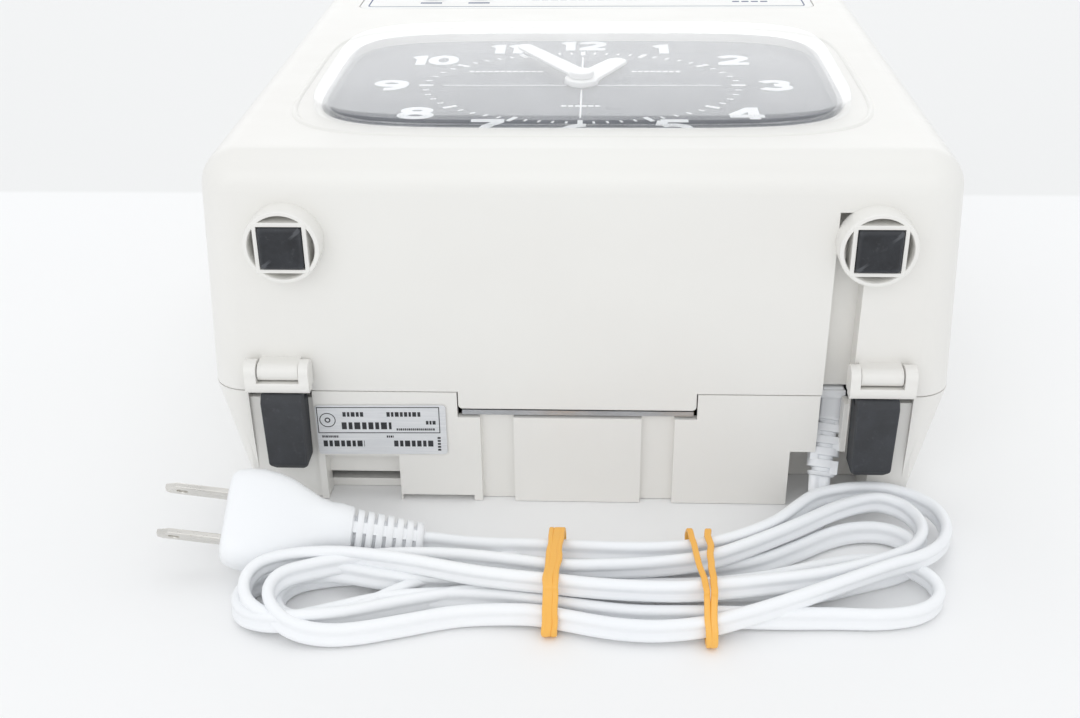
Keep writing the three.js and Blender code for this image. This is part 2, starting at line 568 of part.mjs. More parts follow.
piece('ribbon_cassette', cut(
  solid(slab(roundRect(-47, 47, 107, 141, 5, 3), 61.9, 81.8, 1, 2)),
  box(-20, 20, 136, 150, 70, 90)), 'dark');
piece('ribbon_knob', join(
  rod('z', 6, 82.1, 85.8, 30, 124, 18), rod('z', 2, 85, 87, 30, 124, 10)), 'white');

// --------------------------------------------------------------------- clock
piece('dial_bracket', cut(join(
  box(-64, 64, 40, 104, 84.2, 85.7),
  pairX(62.5, 64, 42, 66, PLATE_Z1 + FIT, 85),
  pairX(62.5, 64, 86, 100, PLATE_Z1 + FIT, 85),
  pairX(62.5, 70, 42, 66, PLATE_Z1 + FIT, 32.4),
  [[-58, 46], [58, 46], [-58, 100], [58, 100]].map(([x, y]) => rod('z', 3, 85.2, 101.5, x, y, 12))),
rod('z', 8, 80, 90, 0, 60, 20)), 'steel');
piece('clock_movement', solid(slab(roundRect(-28, 28, DIAL_Y - 28, DIAL_Y + 28, 5, 3), 86, 101.4, 1, 2))
  .subtract(rod('z', 3.4, 98, 104, 0, DIAL_Y, 16)), 'dark');
piece('dial_plate', lensPrism(grown(OPENING, 2.6), 101.8, DIAL_TOP_Z)
  .subtract(rod('z', 3, 95, 110, 0, DIAL_Y, 20)), 'dial');

function hand(length, halfWidth, rootHalf, z0, z1, degrees) {
  const points = [[-rootHalf, 0], [rootHalf, 0], [halfWidth, length - halfWidth]];
  for (let i = 1; i < 6; i += 1) {
    const angle = (Math.PI * i) / 6;
    points.push([halfWidth * Math.cos(angle), length - halfWidth + halfWidth * Math.sin(angle)]);
  }
  points.push([-halfWidth, length - halfWidth]);
  const g = new THREE.ExtrudeGeometry(outlineShape(points), { depth: z1 - z0, bevelEnabled: false });
  g.rotateZ((degrees * Math.PI) / 180);
  g.translate(0, Y(DIAL_Y), z0);
  return solid(g);
}
piece('hour_hand', cut(join(
  hand(27, 3.3, 4.4, 104.2, 105.3, HOUR_ANGLE),
  rod('z', 5.2, 103.7, 105.5, 0, DIAL_Y, 24),
  rod('z', 2.4, 99, 104, 0, DIAL_Y, 16)),
rod('z', 1.6, 90, 110, 0, DIAL_Y, 16)), 'white');
piece('minute_hand', join(
  hand(40.7, 2.6, 3.4, 106, 106.9, MINUTE_ANGLE),
  rod('z', 3.7, 105.8, 107.8, 0, DIAL_Y, 20),
  rod('z', 1.3, 99, 106, 0, DIAL_Y, 14)), 'white');

// ---------------------------------------------------------- mains cord, plug
function tube(points, width, thick, steps) {
  const half = [width / 2, thick / 2];
  const section = [];
  for (let i = 0; i < 10; i += 1) {
    const angle = (2 * Math.PI * i) / 10;
    section.push([half[1] * Math.sin(angle), half[0] * Math.cos(angle)]);
  }
  const path = new THREE.CatmullRomCurve3(points.map(([x, y, z]) => new THREE.Vector3(x, Y(y), z)));
  return solid(new THREE.ExtrudeGeometry(outlineShape(section), { steps, extrudePath: path, bevelEnabled: false }));
}
const CORD = 5;
piece('cord_lead', tube(
  [[69.95, -0.95, 11.3], [69.6, -3.4, 8.2], [69.4, -7, 5.4], [69.4, -11.5, 3.7]], CORD, CORD, 6), 'white');
piece('cord_tail', tube(
  [[-43.3, -26.6, 3.75], [-39, -26.6, 3.0], [-31, -28, 3.0], [-23, -30.6, 3.2]], CORD, CORD, 5), 'white');

const hankOutline = new THREE.SplineCurve([
  [-90, -57], [-84, -49], [-62, -42.5], [-30, -36.5], [0, -35], [35, -33], [58, -23], [76, -16], [92, -12],
  [103, -18], [105, -28], [97, -42], [80, -58], [50, -65], [30, -66], [0, -64], [-40, -71], [-72, -74],
  [-86, -68], [-90, -57]].map(([x, y]) => new THREE.Vector2(x, y))).getPoints(36)
  .slice(0, -1).map((p) => [p.x, p.y]).reverse();
piece('cord_hank', solid(slab(hankOutline, 1.6, 13, 2, 2)), 'white');

for (const [name, x0, x1, y0, y1] of [
  ['cord_band_left', -8.5, -3.5, -68.5, -32.5], ['cord_band_right', 29, 38, -70.5, -29.5],
]) {
  piece(name, profileX(roundRect(y0, y1, 0, 14.8, 4, 4), x0, x1)
    .subtract(profileX(roundRect(y0 + 1.2, y1 - 1.2, 1.2, 13.6, 3, 4), x0 - 1, x1 + 1)), 'amber');
}

const plugAxis = new THREE.Vector3(...PLUG_AXIS).normalize();
const plugSpread = new THREE.Vector3(...PLUG_SPREAD);
plugSpread.addScaledVector(plugAxis, -plugSpread.dot(plugAxis)).normalize();
const plugThick = new THREE.Vector3().crossVectors(plugAxis, plugSpread);
const plugPlace = new THREE.Matrix4().makeBasis(plugAxis, plugSpread, plugThick);
plugPlace.setPosition(PLUG_FACE[0], Y(PLUG_FACE[1]), PLUG_FACE[2]);

function plugSlab(points, t0, t1, bevel) {
  const g = new THREE.ExtrudeGeometry(outlineShape(points), {
    depth: t1 - t0 - 2 * bevel, bevelEnabled: bevel > 0, bevelSize: bevel, bevelThickness: bevel,
    bevelOffset: -bevel, bevelSegments: 3,
  });
  g.translate(0, 0, t0 + bevel);
  return g.applyMatrix4(plugPlace);
}
const head = [[0, -10.5], [0, 10.5], [-5, 12.6], [-13, 13], [-19, 11.5], [-25, 8.2], [-29, 6.6],
  [-29, -6.6], [-25, -8.2], [-19, -11.5], [-13, -13], [-5, -12.6]].reverse();
const bootTaper = new THREE.CylinderGeometry(6.2, 3.9, 25, 16).rotateZ(-Math.PI / 2);
bootTaper.translate(-40.5, 0, 0).applyMatrix4(plugPlace);
piece('plug_body', solid(plugSlab(head, -7, 7, 2)).add(solid(bootTaper)), 'white');
for (const [name, side] of [['plug_blade_lower', -1], ['plug_blade_upper', 1]]) {
  const g = new THREE.BoxGeometry(BLADE.length, BLADE.thick, BLADE.width);
  g.translate(FIT + BLADE.length / 2, (side * BLADE.spacing) / 2, 0);
  const hole = new THREE.CylinderGeometry(1.5, 1.5, 6, 10);
  hole.translate(BLADE.length - 4.5, (side * BLADE.spacing) / 2, 0);
  piece(name, solid(g.applyMatrix4(plugPlace)).subtract(solid(hole.applyMatrix4(plugPlace))), 'steel');
}

export default group;
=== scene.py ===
"""Punch time clock lying on its back, dial up, underside and mains cord towards the camera.

Lengths are millimetres until a mesh is made, which turns them into metres.  A point is
(x, height, z): height is measured from the clock's underside plane towards the card slot end.
"""

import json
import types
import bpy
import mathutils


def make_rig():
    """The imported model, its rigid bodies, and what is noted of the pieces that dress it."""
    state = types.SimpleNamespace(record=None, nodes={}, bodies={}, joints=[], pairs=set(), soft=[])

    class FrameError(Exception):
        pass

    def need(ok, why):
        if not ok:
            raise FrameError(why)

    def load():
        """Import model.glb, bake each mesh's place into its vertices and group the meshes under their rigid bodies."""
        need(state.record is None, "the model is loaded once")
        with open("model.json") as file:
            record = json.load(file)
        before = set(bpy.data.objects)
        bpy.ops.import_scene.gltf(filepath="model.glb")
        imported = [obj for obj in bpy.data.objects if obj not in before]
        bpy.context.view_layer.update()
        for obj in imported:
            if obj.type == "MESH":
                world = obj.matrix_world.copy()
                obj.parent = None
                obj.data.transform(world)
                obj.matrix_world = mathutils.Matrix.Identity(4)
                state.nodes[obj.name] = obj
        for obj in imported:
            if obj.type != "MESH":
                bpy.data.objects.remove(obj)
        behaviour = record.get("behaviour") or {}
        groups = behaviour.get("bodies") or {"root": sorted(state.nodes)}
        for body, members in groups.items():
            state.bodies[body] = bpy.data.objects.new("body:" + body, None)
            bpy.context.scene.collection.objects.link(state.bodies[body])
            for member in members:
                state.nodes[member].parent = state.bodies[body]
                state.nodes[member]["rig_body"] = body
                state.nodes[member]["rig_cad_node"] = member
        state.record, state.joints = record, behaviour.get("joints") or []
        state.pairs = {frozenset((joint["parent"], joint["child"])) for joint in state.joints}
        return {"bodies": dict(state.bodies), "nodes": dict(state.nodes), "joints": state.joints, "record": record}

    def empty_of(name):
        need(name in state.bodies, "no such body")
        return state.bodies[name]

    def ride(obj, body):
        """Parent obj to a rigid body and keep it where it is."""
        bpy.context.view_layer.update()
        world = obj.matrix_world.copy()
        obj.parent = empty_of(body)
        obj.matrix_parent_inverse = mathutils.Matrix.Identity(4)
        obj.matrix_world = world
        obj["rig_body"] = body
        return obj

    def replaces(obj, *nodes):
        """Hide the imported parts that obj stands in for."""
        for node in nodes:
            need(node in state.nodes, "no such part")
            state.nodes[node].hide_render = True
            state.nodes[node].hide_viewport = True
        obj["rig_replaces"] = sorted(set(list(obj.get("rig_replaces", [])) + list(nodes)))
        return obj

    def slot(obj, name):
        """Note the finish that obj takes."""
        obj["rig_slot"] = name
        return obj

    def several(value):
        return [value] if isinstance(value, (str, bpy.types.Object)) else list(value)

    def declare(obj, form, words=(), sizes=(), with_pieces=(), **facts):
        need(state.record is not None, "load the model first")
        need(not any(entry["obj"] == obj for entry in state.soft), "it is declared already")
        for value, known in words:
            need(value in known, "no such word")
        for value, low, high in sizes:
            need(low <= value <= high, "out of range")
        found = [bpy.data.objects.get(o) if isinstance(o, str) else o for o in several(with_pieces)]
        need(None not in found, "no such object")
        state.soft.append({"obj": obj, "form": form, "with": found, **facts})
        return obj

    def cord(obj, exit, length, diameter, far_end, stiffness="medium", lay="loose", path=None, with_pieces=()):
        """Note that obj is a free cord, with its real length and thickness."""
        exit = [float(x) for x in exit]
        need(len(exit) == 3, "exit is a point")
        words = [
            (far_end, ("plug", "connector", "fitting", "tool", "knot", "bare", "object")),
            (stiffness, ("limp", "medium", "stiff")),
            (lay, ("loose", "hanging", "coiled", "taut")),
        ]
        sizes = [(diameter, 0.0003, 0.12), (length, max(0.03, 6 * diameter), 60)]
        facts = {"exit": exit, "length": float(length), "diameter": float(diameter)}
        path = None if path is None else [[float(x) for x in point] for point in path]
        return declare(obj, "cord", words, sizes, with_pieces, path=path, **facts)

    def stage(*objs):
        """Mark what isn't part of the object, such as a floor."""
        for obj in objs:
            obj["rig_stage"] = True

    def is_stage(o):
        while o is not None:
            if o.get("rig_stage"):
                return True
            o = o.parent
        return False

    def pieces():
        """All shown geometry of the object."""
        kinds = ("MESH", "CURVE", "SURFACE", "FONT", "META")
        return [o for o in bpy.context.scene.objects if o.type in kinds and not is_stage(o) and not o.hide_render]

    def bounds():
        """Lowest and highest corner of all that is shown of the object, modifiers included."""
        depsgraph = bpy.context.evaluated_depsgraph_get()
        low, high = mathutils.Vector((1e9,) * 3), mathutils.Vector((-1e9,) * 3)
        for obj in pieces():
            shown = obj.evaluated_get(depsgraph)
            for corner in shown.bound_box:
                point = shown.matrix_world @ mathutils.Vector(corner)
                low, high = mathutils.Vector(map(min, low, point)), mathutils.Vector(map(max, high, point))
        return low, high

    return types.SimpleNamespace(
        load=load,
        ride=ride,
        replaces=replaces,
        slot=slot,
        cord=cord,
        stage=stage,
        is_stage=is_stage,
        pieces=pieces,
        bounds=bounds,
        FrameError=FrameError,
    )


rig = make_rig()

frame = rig.load()

import json
import math

import bmesh
import bpy
from mathutils import Matrix, Vector, noise

cad_bounds = [list(corner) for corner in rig.bounds()]
NODES = frame["nodes"]

# ---------------------------------------------------------------- dimensions, as in the part
MM = 0.001
UNDERSIDE = -106.2
BODY_LENGTH = 220.2
HALF_WIDTH = 105.0
FACE_Z = 106.0
PARTING_Z = 36.8
REAR_TOP_Z = 36.5
WALL = 2.6
EDGE_R = 10.0
FIT = 0.3
FRONT_DRAFT = 0.0545
REAR_DRAFT = 0.22
LENS = {"a": 78.3, "b": 54.0}
OPENING = {"a": 76.2, "b": 51.9}
LENS_POWER = 5.2
LENS_HEIGHT = 77.4
LENS_RISE = 4.3
LENS_WALL = 2.0
DIAL_HEIGHT = 76.4
DIAL_TOP_Z = 103.1
PANEL = {"half": 84.6, "low": 166.0, "high": 208.0, "depth": 1.4, "r": 5.0}
HINGE = {"height": -3.7, "z": 45.0, "bore": 1.28, "knuckle": 2.6}
HOOK = {"x0": 74.6, "x1": 92.6, "gap0": 77.6, "gap1": 89.0}
FOOT = {"x": 78.2, "z": 83.4, "ring_r": 10.3, "hole_r": 8.9, "ring": 6.6, "frame": 7.2,
        "pad": 5.9, "reach": 7.8}
REAR_FOOT = {"x0": 76.9, "x1": 88.8, "z0": 13.9, "z1": 38.9}
CORD_SLOT = {"x0": 68.5, "x1": 76.6, "depth": 6.5, "top": 91.5}
TAB = {"x0": -34.0, "x1": 33.7, "z": 31.2}
BUTTONS = {"in_button": (-58.0, "in_key"), "out_button": (-40.0, "out_key")}
BUTTON = {"height": 187.0, "r": 4.6, "hole": 5.0}
LAMP = {"x": 62.0, "height": 187.0, "r": 2.2, "hole": 2.5}
LOCK = {"x": 78.0, "z": 72.0, "hole": 6.2}
MINUTE_ANGLE = 30.0
HOUR_ANGLE = -27.5
PLUG_FACE = (-95.0, -32.0, 15.2)
PLUG_AXIS = Vector((-0.975, -0.1, 0.2)).normalized()
PLUG_SPREAD = Vector((0.2, 0.8, 0.59))
BLADE = {"length": 17.0, "width": 6.3, "thick": 1.5, "spacing": 12.7}
CORD_WIDTH = 6.2
CORD_THICK = 3.1


# ---------------------------------------------------------------- outlines
def round_rect(x0, x1, y0, y1, r, segments=8):
    """Rounded rectangle, counter-clockwise."""
    points = []
    corners = ((x1 - r, y0 + r, -90), (x1 - r, y1 - r, 0), (x0 + r, y1 - r, 90), (x0 + r, y0 + r, 180))
    for cx, cy, start in corners:
        for i in range(segments + 1):
            angle = math.radians(start + 90 * i / segments)
            points.append((cx + r * math.cos(angle), cy + r * math.sin(angle)))
    return points


def rounded_point(a, b, t, power):
    """The point at angle t of a superellipse of half axes a and b; power 2 is an ellipse."""
    c, s = math.cos(t), math.sin(t)
    return a * math.copysign(abs(c) ** (2 / power), c), b * math.copysign(abs(s) ** (2 / power), s)


def rounded_section(half_wide, half_thick, power, count):
    """A superellipse in equal steps of angle."""
    return [rounded_point(half_wide, half_thick, 2 * math.pi * i / count, power) for i in range(count)]


def superellipse(a, b, grow=0.0, count=144):
    """The lens outline, grown outwards, centred on the lens."""
    points = []
    for i in range(count):
        # equal steps along the angle leave the corners coarse, so the angle is eased towards them
        t = 2 * math.pi * i / count
        t -= 0.2 * math.sin(4 * t)
        x, y = rounded_point(a + grow, b + grow, t, LENS_POWER)
        points.append((x, y + LENS_HEIGHT))
    return points


def circle(r, count, cx=0.0, cy=0.0):
    turns = [2 * math.pi * i / count for i in range(count)]
    return [(cx + r * math.cos(t), cy + r * math.sin(t)) for t in turns]


def inset(points, by):
    """The closed outline moved inwards by a distance, corner by corner."""
    count = len(points)
    moved = []
    for i, (x, y) in enumerate(points):
        ax, ay = points[i - 1]
        bx, by_ = points[(i + 1) % count]
        before = Vector((x - ax, y - ay)).normalized()
        after = Vector((bx - x, by_ - y)).normalized()
        inward = Vector((-before.y - after.y, before.x + after.x))
        if inward.length < 1e-6:
            moved.append((x, y))
            continue
        inward.normalize()
        reach = by / max(0.35, inward.dot(Vector((-before.y, before.x))))
        moved.append((x + inward.x * reach, y + inward.y * reach))
    return moved


# ---------------------------------------------------------------- solids
def mesh_object(name, vertices, faces):
    """A mesh object from (x, height, z) points in millimetres, with its normals outwards."""
    mesh = bpy.data.meshes.new(name)
    mesh.from_pydata([(x * MM, (UNDERSIDE + d) * MM, z * MM) for x, d, z in vertices], [], faces)
    bm = bmesh.new()
    bm.from_mesh(mesh)
    bmesh.ops.remove_doubles(bm, verts=bm.verts, dist=1e-7)
    bmesh.ops.recalc_face_normals(bm, faces=bm.faces)
    bm.to_mesh(mesh)
    bm.free()
    obj = bpy.data.objects.new(name, mesh)
    bpy.context.scene.collection.objects.link(obj)
    return obj


def loft(name, rings, loop=False):
    """Skin over rings of equal length: capped at both ends, or closed on itself."""
    size = len(rings[0])
    vertices = [point for ring in rings for point in ring]
    faces = []
    for r in range(len(rings) if loop else len(rings) - 1):
        here = r * size
        there = ((r + 1) % len(rings)) * size
        for i in range(size):
            j = (i + 1) % size
            faces.append((here + i, here + j, there + j, there + i))
    if not loop:
        faces.append(tuple(range(size)))
        last = (len(rings) - 1) * size
        faces.append(tuple(last + i for i in range(size)))
    return mesh_object(name, vertices, faces)


def place(axis, u, v, along):
    """(u, v) across and a distance along an axis, as (x, height, z)."""
    if axis == "x":
        return along, u, v
    if axis == "y":
        return u, along, v
    return u, v, along


def extrude(name, outline, axis, start, end, rounding=0.0, steps=3):
    """Outline drawn out along an axis, its two end edges rounded."""
    if rounding <= 0:
        levels = [(start, 0.0), (end, 0.0)]
    else:
        arc = [math.pi / 2 * i / steps for i in range(steps + 1)]
        low = [(start + rounding * (1 - math.sin(t)), rounding * (1 - math.cos(t))) for t in reversed(arc)]
        high = [(end - rounding * (1 - math.sin(t)), rounding * (1 - math.cos(t))) for t in arc]
        levels = low + high
    rings = [[place(axis, u, v, along) for u, v in inset(outline, by)] for along, by in levels]
    return loft(name, rings)


def box(x0, x1, d0, d1, z0, z1, soft=0.0):
    if soft > 0:
        outline = round_rect(x0, x1, d0, d1, soft, 3)
    else:
        outline = [(x0, d0), (x1, d0), (x1, d1), (x0, d1)]
    return extrude("box", outline, "z", z0, z1, soft)


def rod(axis, r, start, end, c1, c2, count=48):
    """Cylinder along an axis; c1 and c2 are its other two coordinates in (x, height, z) order."""
    return extrude("rod", circle(r, count, c1, c2), axis, start, end)


def lathe(name, profile, axis, c1, c2, count=64, loop=False):
    """(radius, distance along the axis) pairs turned round the axis."""
    rings = []
    for r, along in profile:
        rings.append([place(axis, u, v, along) for u, v in circle(max(r, 0.01), count, c1, c2)])
    return loft(name, rings, loop)


def both_sides(x0, x1, *rest):
    return [box(x0, x1, *rest), box(-x1, -x0, *rest)]


def apply_modifiers(obj):
    bpy.context.view_layer.update()
    graph = bpy.context.evaluated_depsgraph_get()
    mesh = bpy.data.meshes.new_from_object(obj.evaluated_get(graph))
    obj.modifiers.clear()
    obj.data = mesh


def combine(target, operation, *tools):
    """Adds solids to the target, cuts them from it, or keeps what it shares with them."""
    flat = []
    for tool in tools:
        flat.extend(tool if isinstance(tool, (list, tuple)) else [tool])
    for tool in flat:
        modifier = target.modifiers.new("combine", "BOOLEAN")
        modifier.operation = operation
        modifier.solver = "EXACT"
        modifier.object = tool
    apply_modifiers(target)
    for tool in flat:
        bpy.data.objects.remove(tool)
    return target


def join_meshes(name, objects):
    """One object from several; where they overlap they stay separate shells."""
    bm = bmesh.new()
    for obj in objects:
        bm.from_mesh(obj.data)
    mesh = bpy.data.meshes.new(name)
    bm.to_mesh(mesh)
    bm.free()
    joined = bpy.data.objects.new(name, mesh)
    bpy.context.scene.collection.objects.link(joined)
    for obj in objects:
        bpy.data.objects.remove(obj)
    return joined


def soften(obj, width, angle=38, segments=2):
    """Rounds the hard edges by a small radius."""
    bevel = obj.modifiers.new("soften", "BEVEL")
    bevel.width = width * MM
    bevel.segments = segments
    bevel.limit_method = "ANGLE"
    bevel.angle_limit = math.radians(angle)
    bevel.use_clamp_overlap = True
    bevel.miter_outer = "MITER_ARC"
    return obj


def tidy_mesh(obj, merge=0.02):
    """Merges the slivers that cutting leaves behind."""
    bm = bmesh.new()
    bm.from_mesh(obj.data)
    bmesh.ops.remove_doubles(bm, verts=bm.verts, dist=merge * MM)
    bmesh.ops.dissolve_degenerate(bm, dist=merge * MM, edges=bm.edges)
    bmesh.ops.dissolve_limit(bm, angle_limit=math.radians(0.4), verts=bm.verts, edges=bm.edges,
                             delimit={"NORMAL"})
    bm.to_mesh(obj.data)
    bm.free()


def shade(obj, angle=40):
    """Smooth shading that keeps flat faces flat and hard edges hard."""
    obj.data.polygons.foreach_set("use_smooth", [True] * len(obj.data.polygons))
    obj.data.set_sharp_from_angle(angle=math.radians(angle))
    weighted = obj.modifiers.new("flat faces", "WEIGHTED_NORMAL")
    weighted.keep_sharp = True
    weighted.weight = 80
    return obj


def piece(obj, name, body, finish, replaces=(), edge=0.0, angle=40):
    """Names a finished piece, rounds and shades it, gives it its material and its body."""
    obj.name = name
    obj.data.name = name
    if edge > 0:
        tidy_mesh(obj)
        soften(obj, edge, angle - 2)
        apply_modifiers(obj)
    shade(obj, angle)
    obj.data.materials.clear()
    obj.data.materials.append(MATERIALS[finish])
    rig.ride(obj, body)
    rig.slot(obj, SLOT_OF.get(finish, finish))
    if replaces:
        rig.replaces(obj, *replaces)
    return obj


# ---------------------------------------------------------------- materials
class Nodes:
    """A small helper that builds one material's node tree."""

    def __init__(self, name):
        self.material = bpy.data.materials.new(name)
        self.material.use_nodes = True
        self.tree = self.material.node_tree
        self.shader = self.tree.nodes["Principled BSDF"]
        self.place = self.tree.nodes.new("ShaderNodeTexCoord").outputs["Object"]

    def add(self, kind, inputs=None, **settings):
        node = self.tree.nodes.new("ShaderNode" + kind)
        for key, value in settings.items():
            setattr(node, key, value)
        for key, value in (inputs or {}).items():
            if isinstance(value, bpy.types.NodeSocket):
                self.tree.links.new(value, node.inputs[key])
            else:
                node.inputs[key].default_value = value
        return node

    def stretched(self, scale):
        return self.add("Mapping", {"Vector": self.place, "Scale": scale}).outputs["Vector"]

    def noise(self, scale, detail=3.0, roughness=0.55, vector=None):
        """Noise of about 1 / scale metres, 0 to 1."""
        inputs = {"Vector": vector or self.place, "Scale": scale, "Detail": detail, "Roughness": roughness}
        return self.add("TexNoise", inputs).outputs["Fac"]

    def ramp(self, value, low, high, to_low, to_high):
        """The value's range stretched onto another."""
        inputs = {"Value": value, "From Min": low, "From Max": high, "To Min": to_low, "To Max": to_high}
        return self.add("MapRange", inputs).outputs["Result"]

    def blend(self, amount, first, second):
        """Colour between two, by amount."""
        node = self.add("Mix", data_type="RGBA")
        for index, value in ((0, amount), (6, first), (7, second)):
            socket = node.inputs[index]
            if isinstance(value, bpy.types.NodeSocket):
                self.tree.links.new(value, socket)
            else:
                socket.default_value = value
        return node.outputs[2]

    def bump(self, height, strength, distance, after=None):
        inputs = {"Height": height, "Strength": strength, "Distance": distance}
        if after is not None:
            inputs["Normal"] = after
        return self.add("Bump", inputs).outputs["Normal"]

    def set(self, **values):
        for key, value in values.items():
            socket = self.shader.inputs[key.replace("_", " ")]
            if isinstance(value, bpy.types.NodeSocket):
                self.tree.links.new(value, socket)
            else:
                socket.default_value = value
        return self


def rgb(r, g, b):
    """An sRGB colour, 0 to 255, as linear RGBA."""
    def linear(c):
        c /= 255
        return c / 12.92 if c <= 0.04045 else ((c + 0.055) / 1.055) ** 2.4
    return (linear(r), linear(g), linear(b), 1.0)


def moulded(name, light, dark, roughness, grain=0.00003, grain_scale=2600, specular=0.5, coat=0.0):
    """Moulded plastic: faint flow marks, a fine eroded grain and uneven gloss."""
    n = Nodes(name)
    flow = n.noise(9, 3, vector=n.stretched((1.0, 0.6, 1.4)))
    speck = n.noise(700, 2)
    tone = n.blend(n.ramp(flow, 0.3, 0.7, 0.0, 1.0), light, dark)
    tone = n.blend(n.ramp(speck, 0.66, 0.74, 0.0, 0.12), tone, dark)
    scuff = n.noise(60, 5, 0.65, n.stretched((1.0, 3.0, 1.0)))
    fine = n.bump(n.noise(grain_scale, 2), 0.35, grain)
    soft = n.bump(n.noise(26, 2), 0.12, 0.0004, fine)
    n.set(Base_Color=tone, Roughness=n.ramp(scuff, 0.3, 0.75, roughness - 0.06, roughness + 0.07),
          Normal=soft, Specular_IOR_Level=specular)
    if coat:
        n.set(Coat_Weight=coat, Coat_Roughness=0.12)
    return n.material


def rubber(name, light, dark, dust):
    """Rubber: matt, pitted, with pale dust, and paler along its convex edges."""
    n = Nodes(name)
    pits = n.noise(1500, 3)
    patch = n.noise(140, 5, 0.7)
    convex_edges = n.add("NewGeometry").outputs["Pointiness"]
    tone = n.blend(n.ramp(patch, 0.35, 0.7, 0.0, 1.0), dark, light)
    tone = n.blend(n.ramp(n.noise(420, 6, 0.75), 0.56, 0.78, 0.0, 0.35), tone, dust)
    # convex edges, found by pointiness, are blended part way towards the dust colour
    tone = n.blend(n.ramp(convex_edges, 0.52, 0.6, 0.0, 0.55), tone, dust)
    n.set(Base_Color=tone, Roughness=n.ramp(patch, 0.3, 0.7, 0.62, 0.82),
          Normal=n.bump(pits, 0.6, 0.00012), Specular_IOR_Level=0.35)
    return n.material


def metal(name, colour, roughness, brushed=(1.0, 1.0, 1.0), spots=None):
    """Metal: brushed along one direction, with faint stains."""
    n = Nodes(name)
    lines = n.noise(900, 4, 0.6, n.stretched(brushed))
    stain = n.noise(45, 4, 0.6)
    darker = tuple(c * 0.72 for c in colour[:3]) + (1.0,)
    tone = n.blend(n.ramp(stain, 0.35, 0.75, 0.0, 0.8), colour, darker)
    if spots is not None:
        tone = n.blend(n.ramp(n.noise(600, 5, 0.7), 0.62, 0.7, 0.0, 0.7), tone, spots)
    n.set(Base_Color=tone, Metallic=1.0, Roughness=n.ramp(lines, 0.3, 0.7, roughness, roughness + 0.16),
          Normal=n.bump(lines, 0.25, 0.00004))
    return n.material


def clear_acrylic(name):
    """Clear moulded acrylic: it mirrors more the flatter it is seen, with faint smears and a ripple."""
    n = Nodes(name)
    facing = n.add("LayerWeight", {"Blend": 0.5}).outputs["Facing"]
    mirror = n.add("Math", {0: facing, 1: 4.3}, operation="POWER").outputs["Value"]
    smear = n.ramp(n.noise(38, 4, 0.6), 0.45, 0.8, 0.03, 0.05)
    hazed = n.add("Math", {0: mirror, 1: 0.9, 2: smear}, operation="MULTIPLY_ADD").outputs["Value"]
    n.set(Base_Color=(0.97, 0.975, 0.98, 1.0), Metallic=1.0, Roughness=0.04, Alpha=hazed,
          Normal=n.bump(n.noise(14, 2), 0.03, 0.0003))
    return n.material


def circuit_board(name):
    """Green solder mask over copper tracks, with pads in rows."""
    n = Nodes(name)
    tracks = n.add("TexBrick", {"Vector": n.place, "Scale": 150.0, "Mortar Size": 0.035,
                                "Brick Width": 0.9, "Row Height": 0.35}).outputs["Fac"]
    pads = n.add("TexVoronoi", {"Vector": n.place, "Scale": 330.0}).outputs["Distance"]
    mask = n.blend(n.noise(30, 3), rgb(30, 92, 58), rgb(40, 112, 70))
    tone = n.blend(tracks, mask, rgb(66, 140, 88))
    tone = n.blend(n.ramp(pads, 0.13, 0.16, 1.0, 0.0), tone, rgb(196, 196, 186))
    n.set(Base_Color=tone, Roughness=0.32, Normal=n.bump(tracks, 0.3, 0.00005))
    return n.material


def wound(name, light, dark, pitch):
    """Turns of wire or tape side by side along z."""
    n = Nodes(name)
    turns = n.add("TexWave", {"Vector": n.place, "Scale": 1 / pitch, "Distortion": 0.4,
                              "Detail": 1.0}, bands_direction="Z").outputs["Fac"]
    tone = n.blend(turns, dark, light)
    n.set(Base_Color=tone, Roughness=0.38, Metallic=0.6, Normal=n.bump(turns, 0.7, 0.0002))
    return n.material


def printed(name, colour):
    """Screen-printed ink, slightly uneven."""
    n = Nodes(name)
    thin = tuple(min(1.0, c * 1.12 + 0.015) for c in colour[:3]) + (1.0,)
    tone = n.blend(n.ramp(n.noise(900, 3), 0.4, 0.8, 0.0, 0.7), colour, thin)
    n.set(Base_Color=tone, Roughness=0.45, Normal=n.bump(n.noise(2400, 2), 0.2, 0.00001))
    return n.material


def foil(name):
    """Silver label stock: brushed film with a faint sparkle."""
    n = Nodes(name)
    lines = n.noise(700, 4, 0.6, n.stretched((0.12, 1.0, 3.0)))
    tone = n.blend(n.ramp(lines, 0.3, 0.7, 0.0, 1.0), rgb(232, 233, 235), rgb(218, 220, 223))
    n.set(Base_Color=tone, Metallic=0.12, Roughness=n.ramp(n.noise(60, 3), 0.3, 0.7, 0.3, 0.42),
          Normal=n.bump(lines, 0.2, 0.00003))
    return n.material


BACKDROP_START = (0.146, 0.150)


def floor_paper(name):
    """White table top in front of a paper backdrop that starts behind the clock."""
    n = Nodes(name)
    split = n.add("SeparateXYZ", {"Vector": n.place}).outputs["Y"]
    behind = n.ramp(split, *BACKDROP_START, 0.0, 1.0)
    tone = n.blend(n.noise(3, 2), (0.90, 0.90, 0.90, 1.0), (0.93, 0.93, 0.93, 1.0))
    tone = n.blend(behind, tone, (0.845, 0.845, 0.84, 1.0))
    n.set(Base_Color=tone, Roughness=0.6, Specular_IOR_Level=0.2,
          Normal=n.bump(n.noise(500, 3), 0.08, 0.0001))
    return n.material


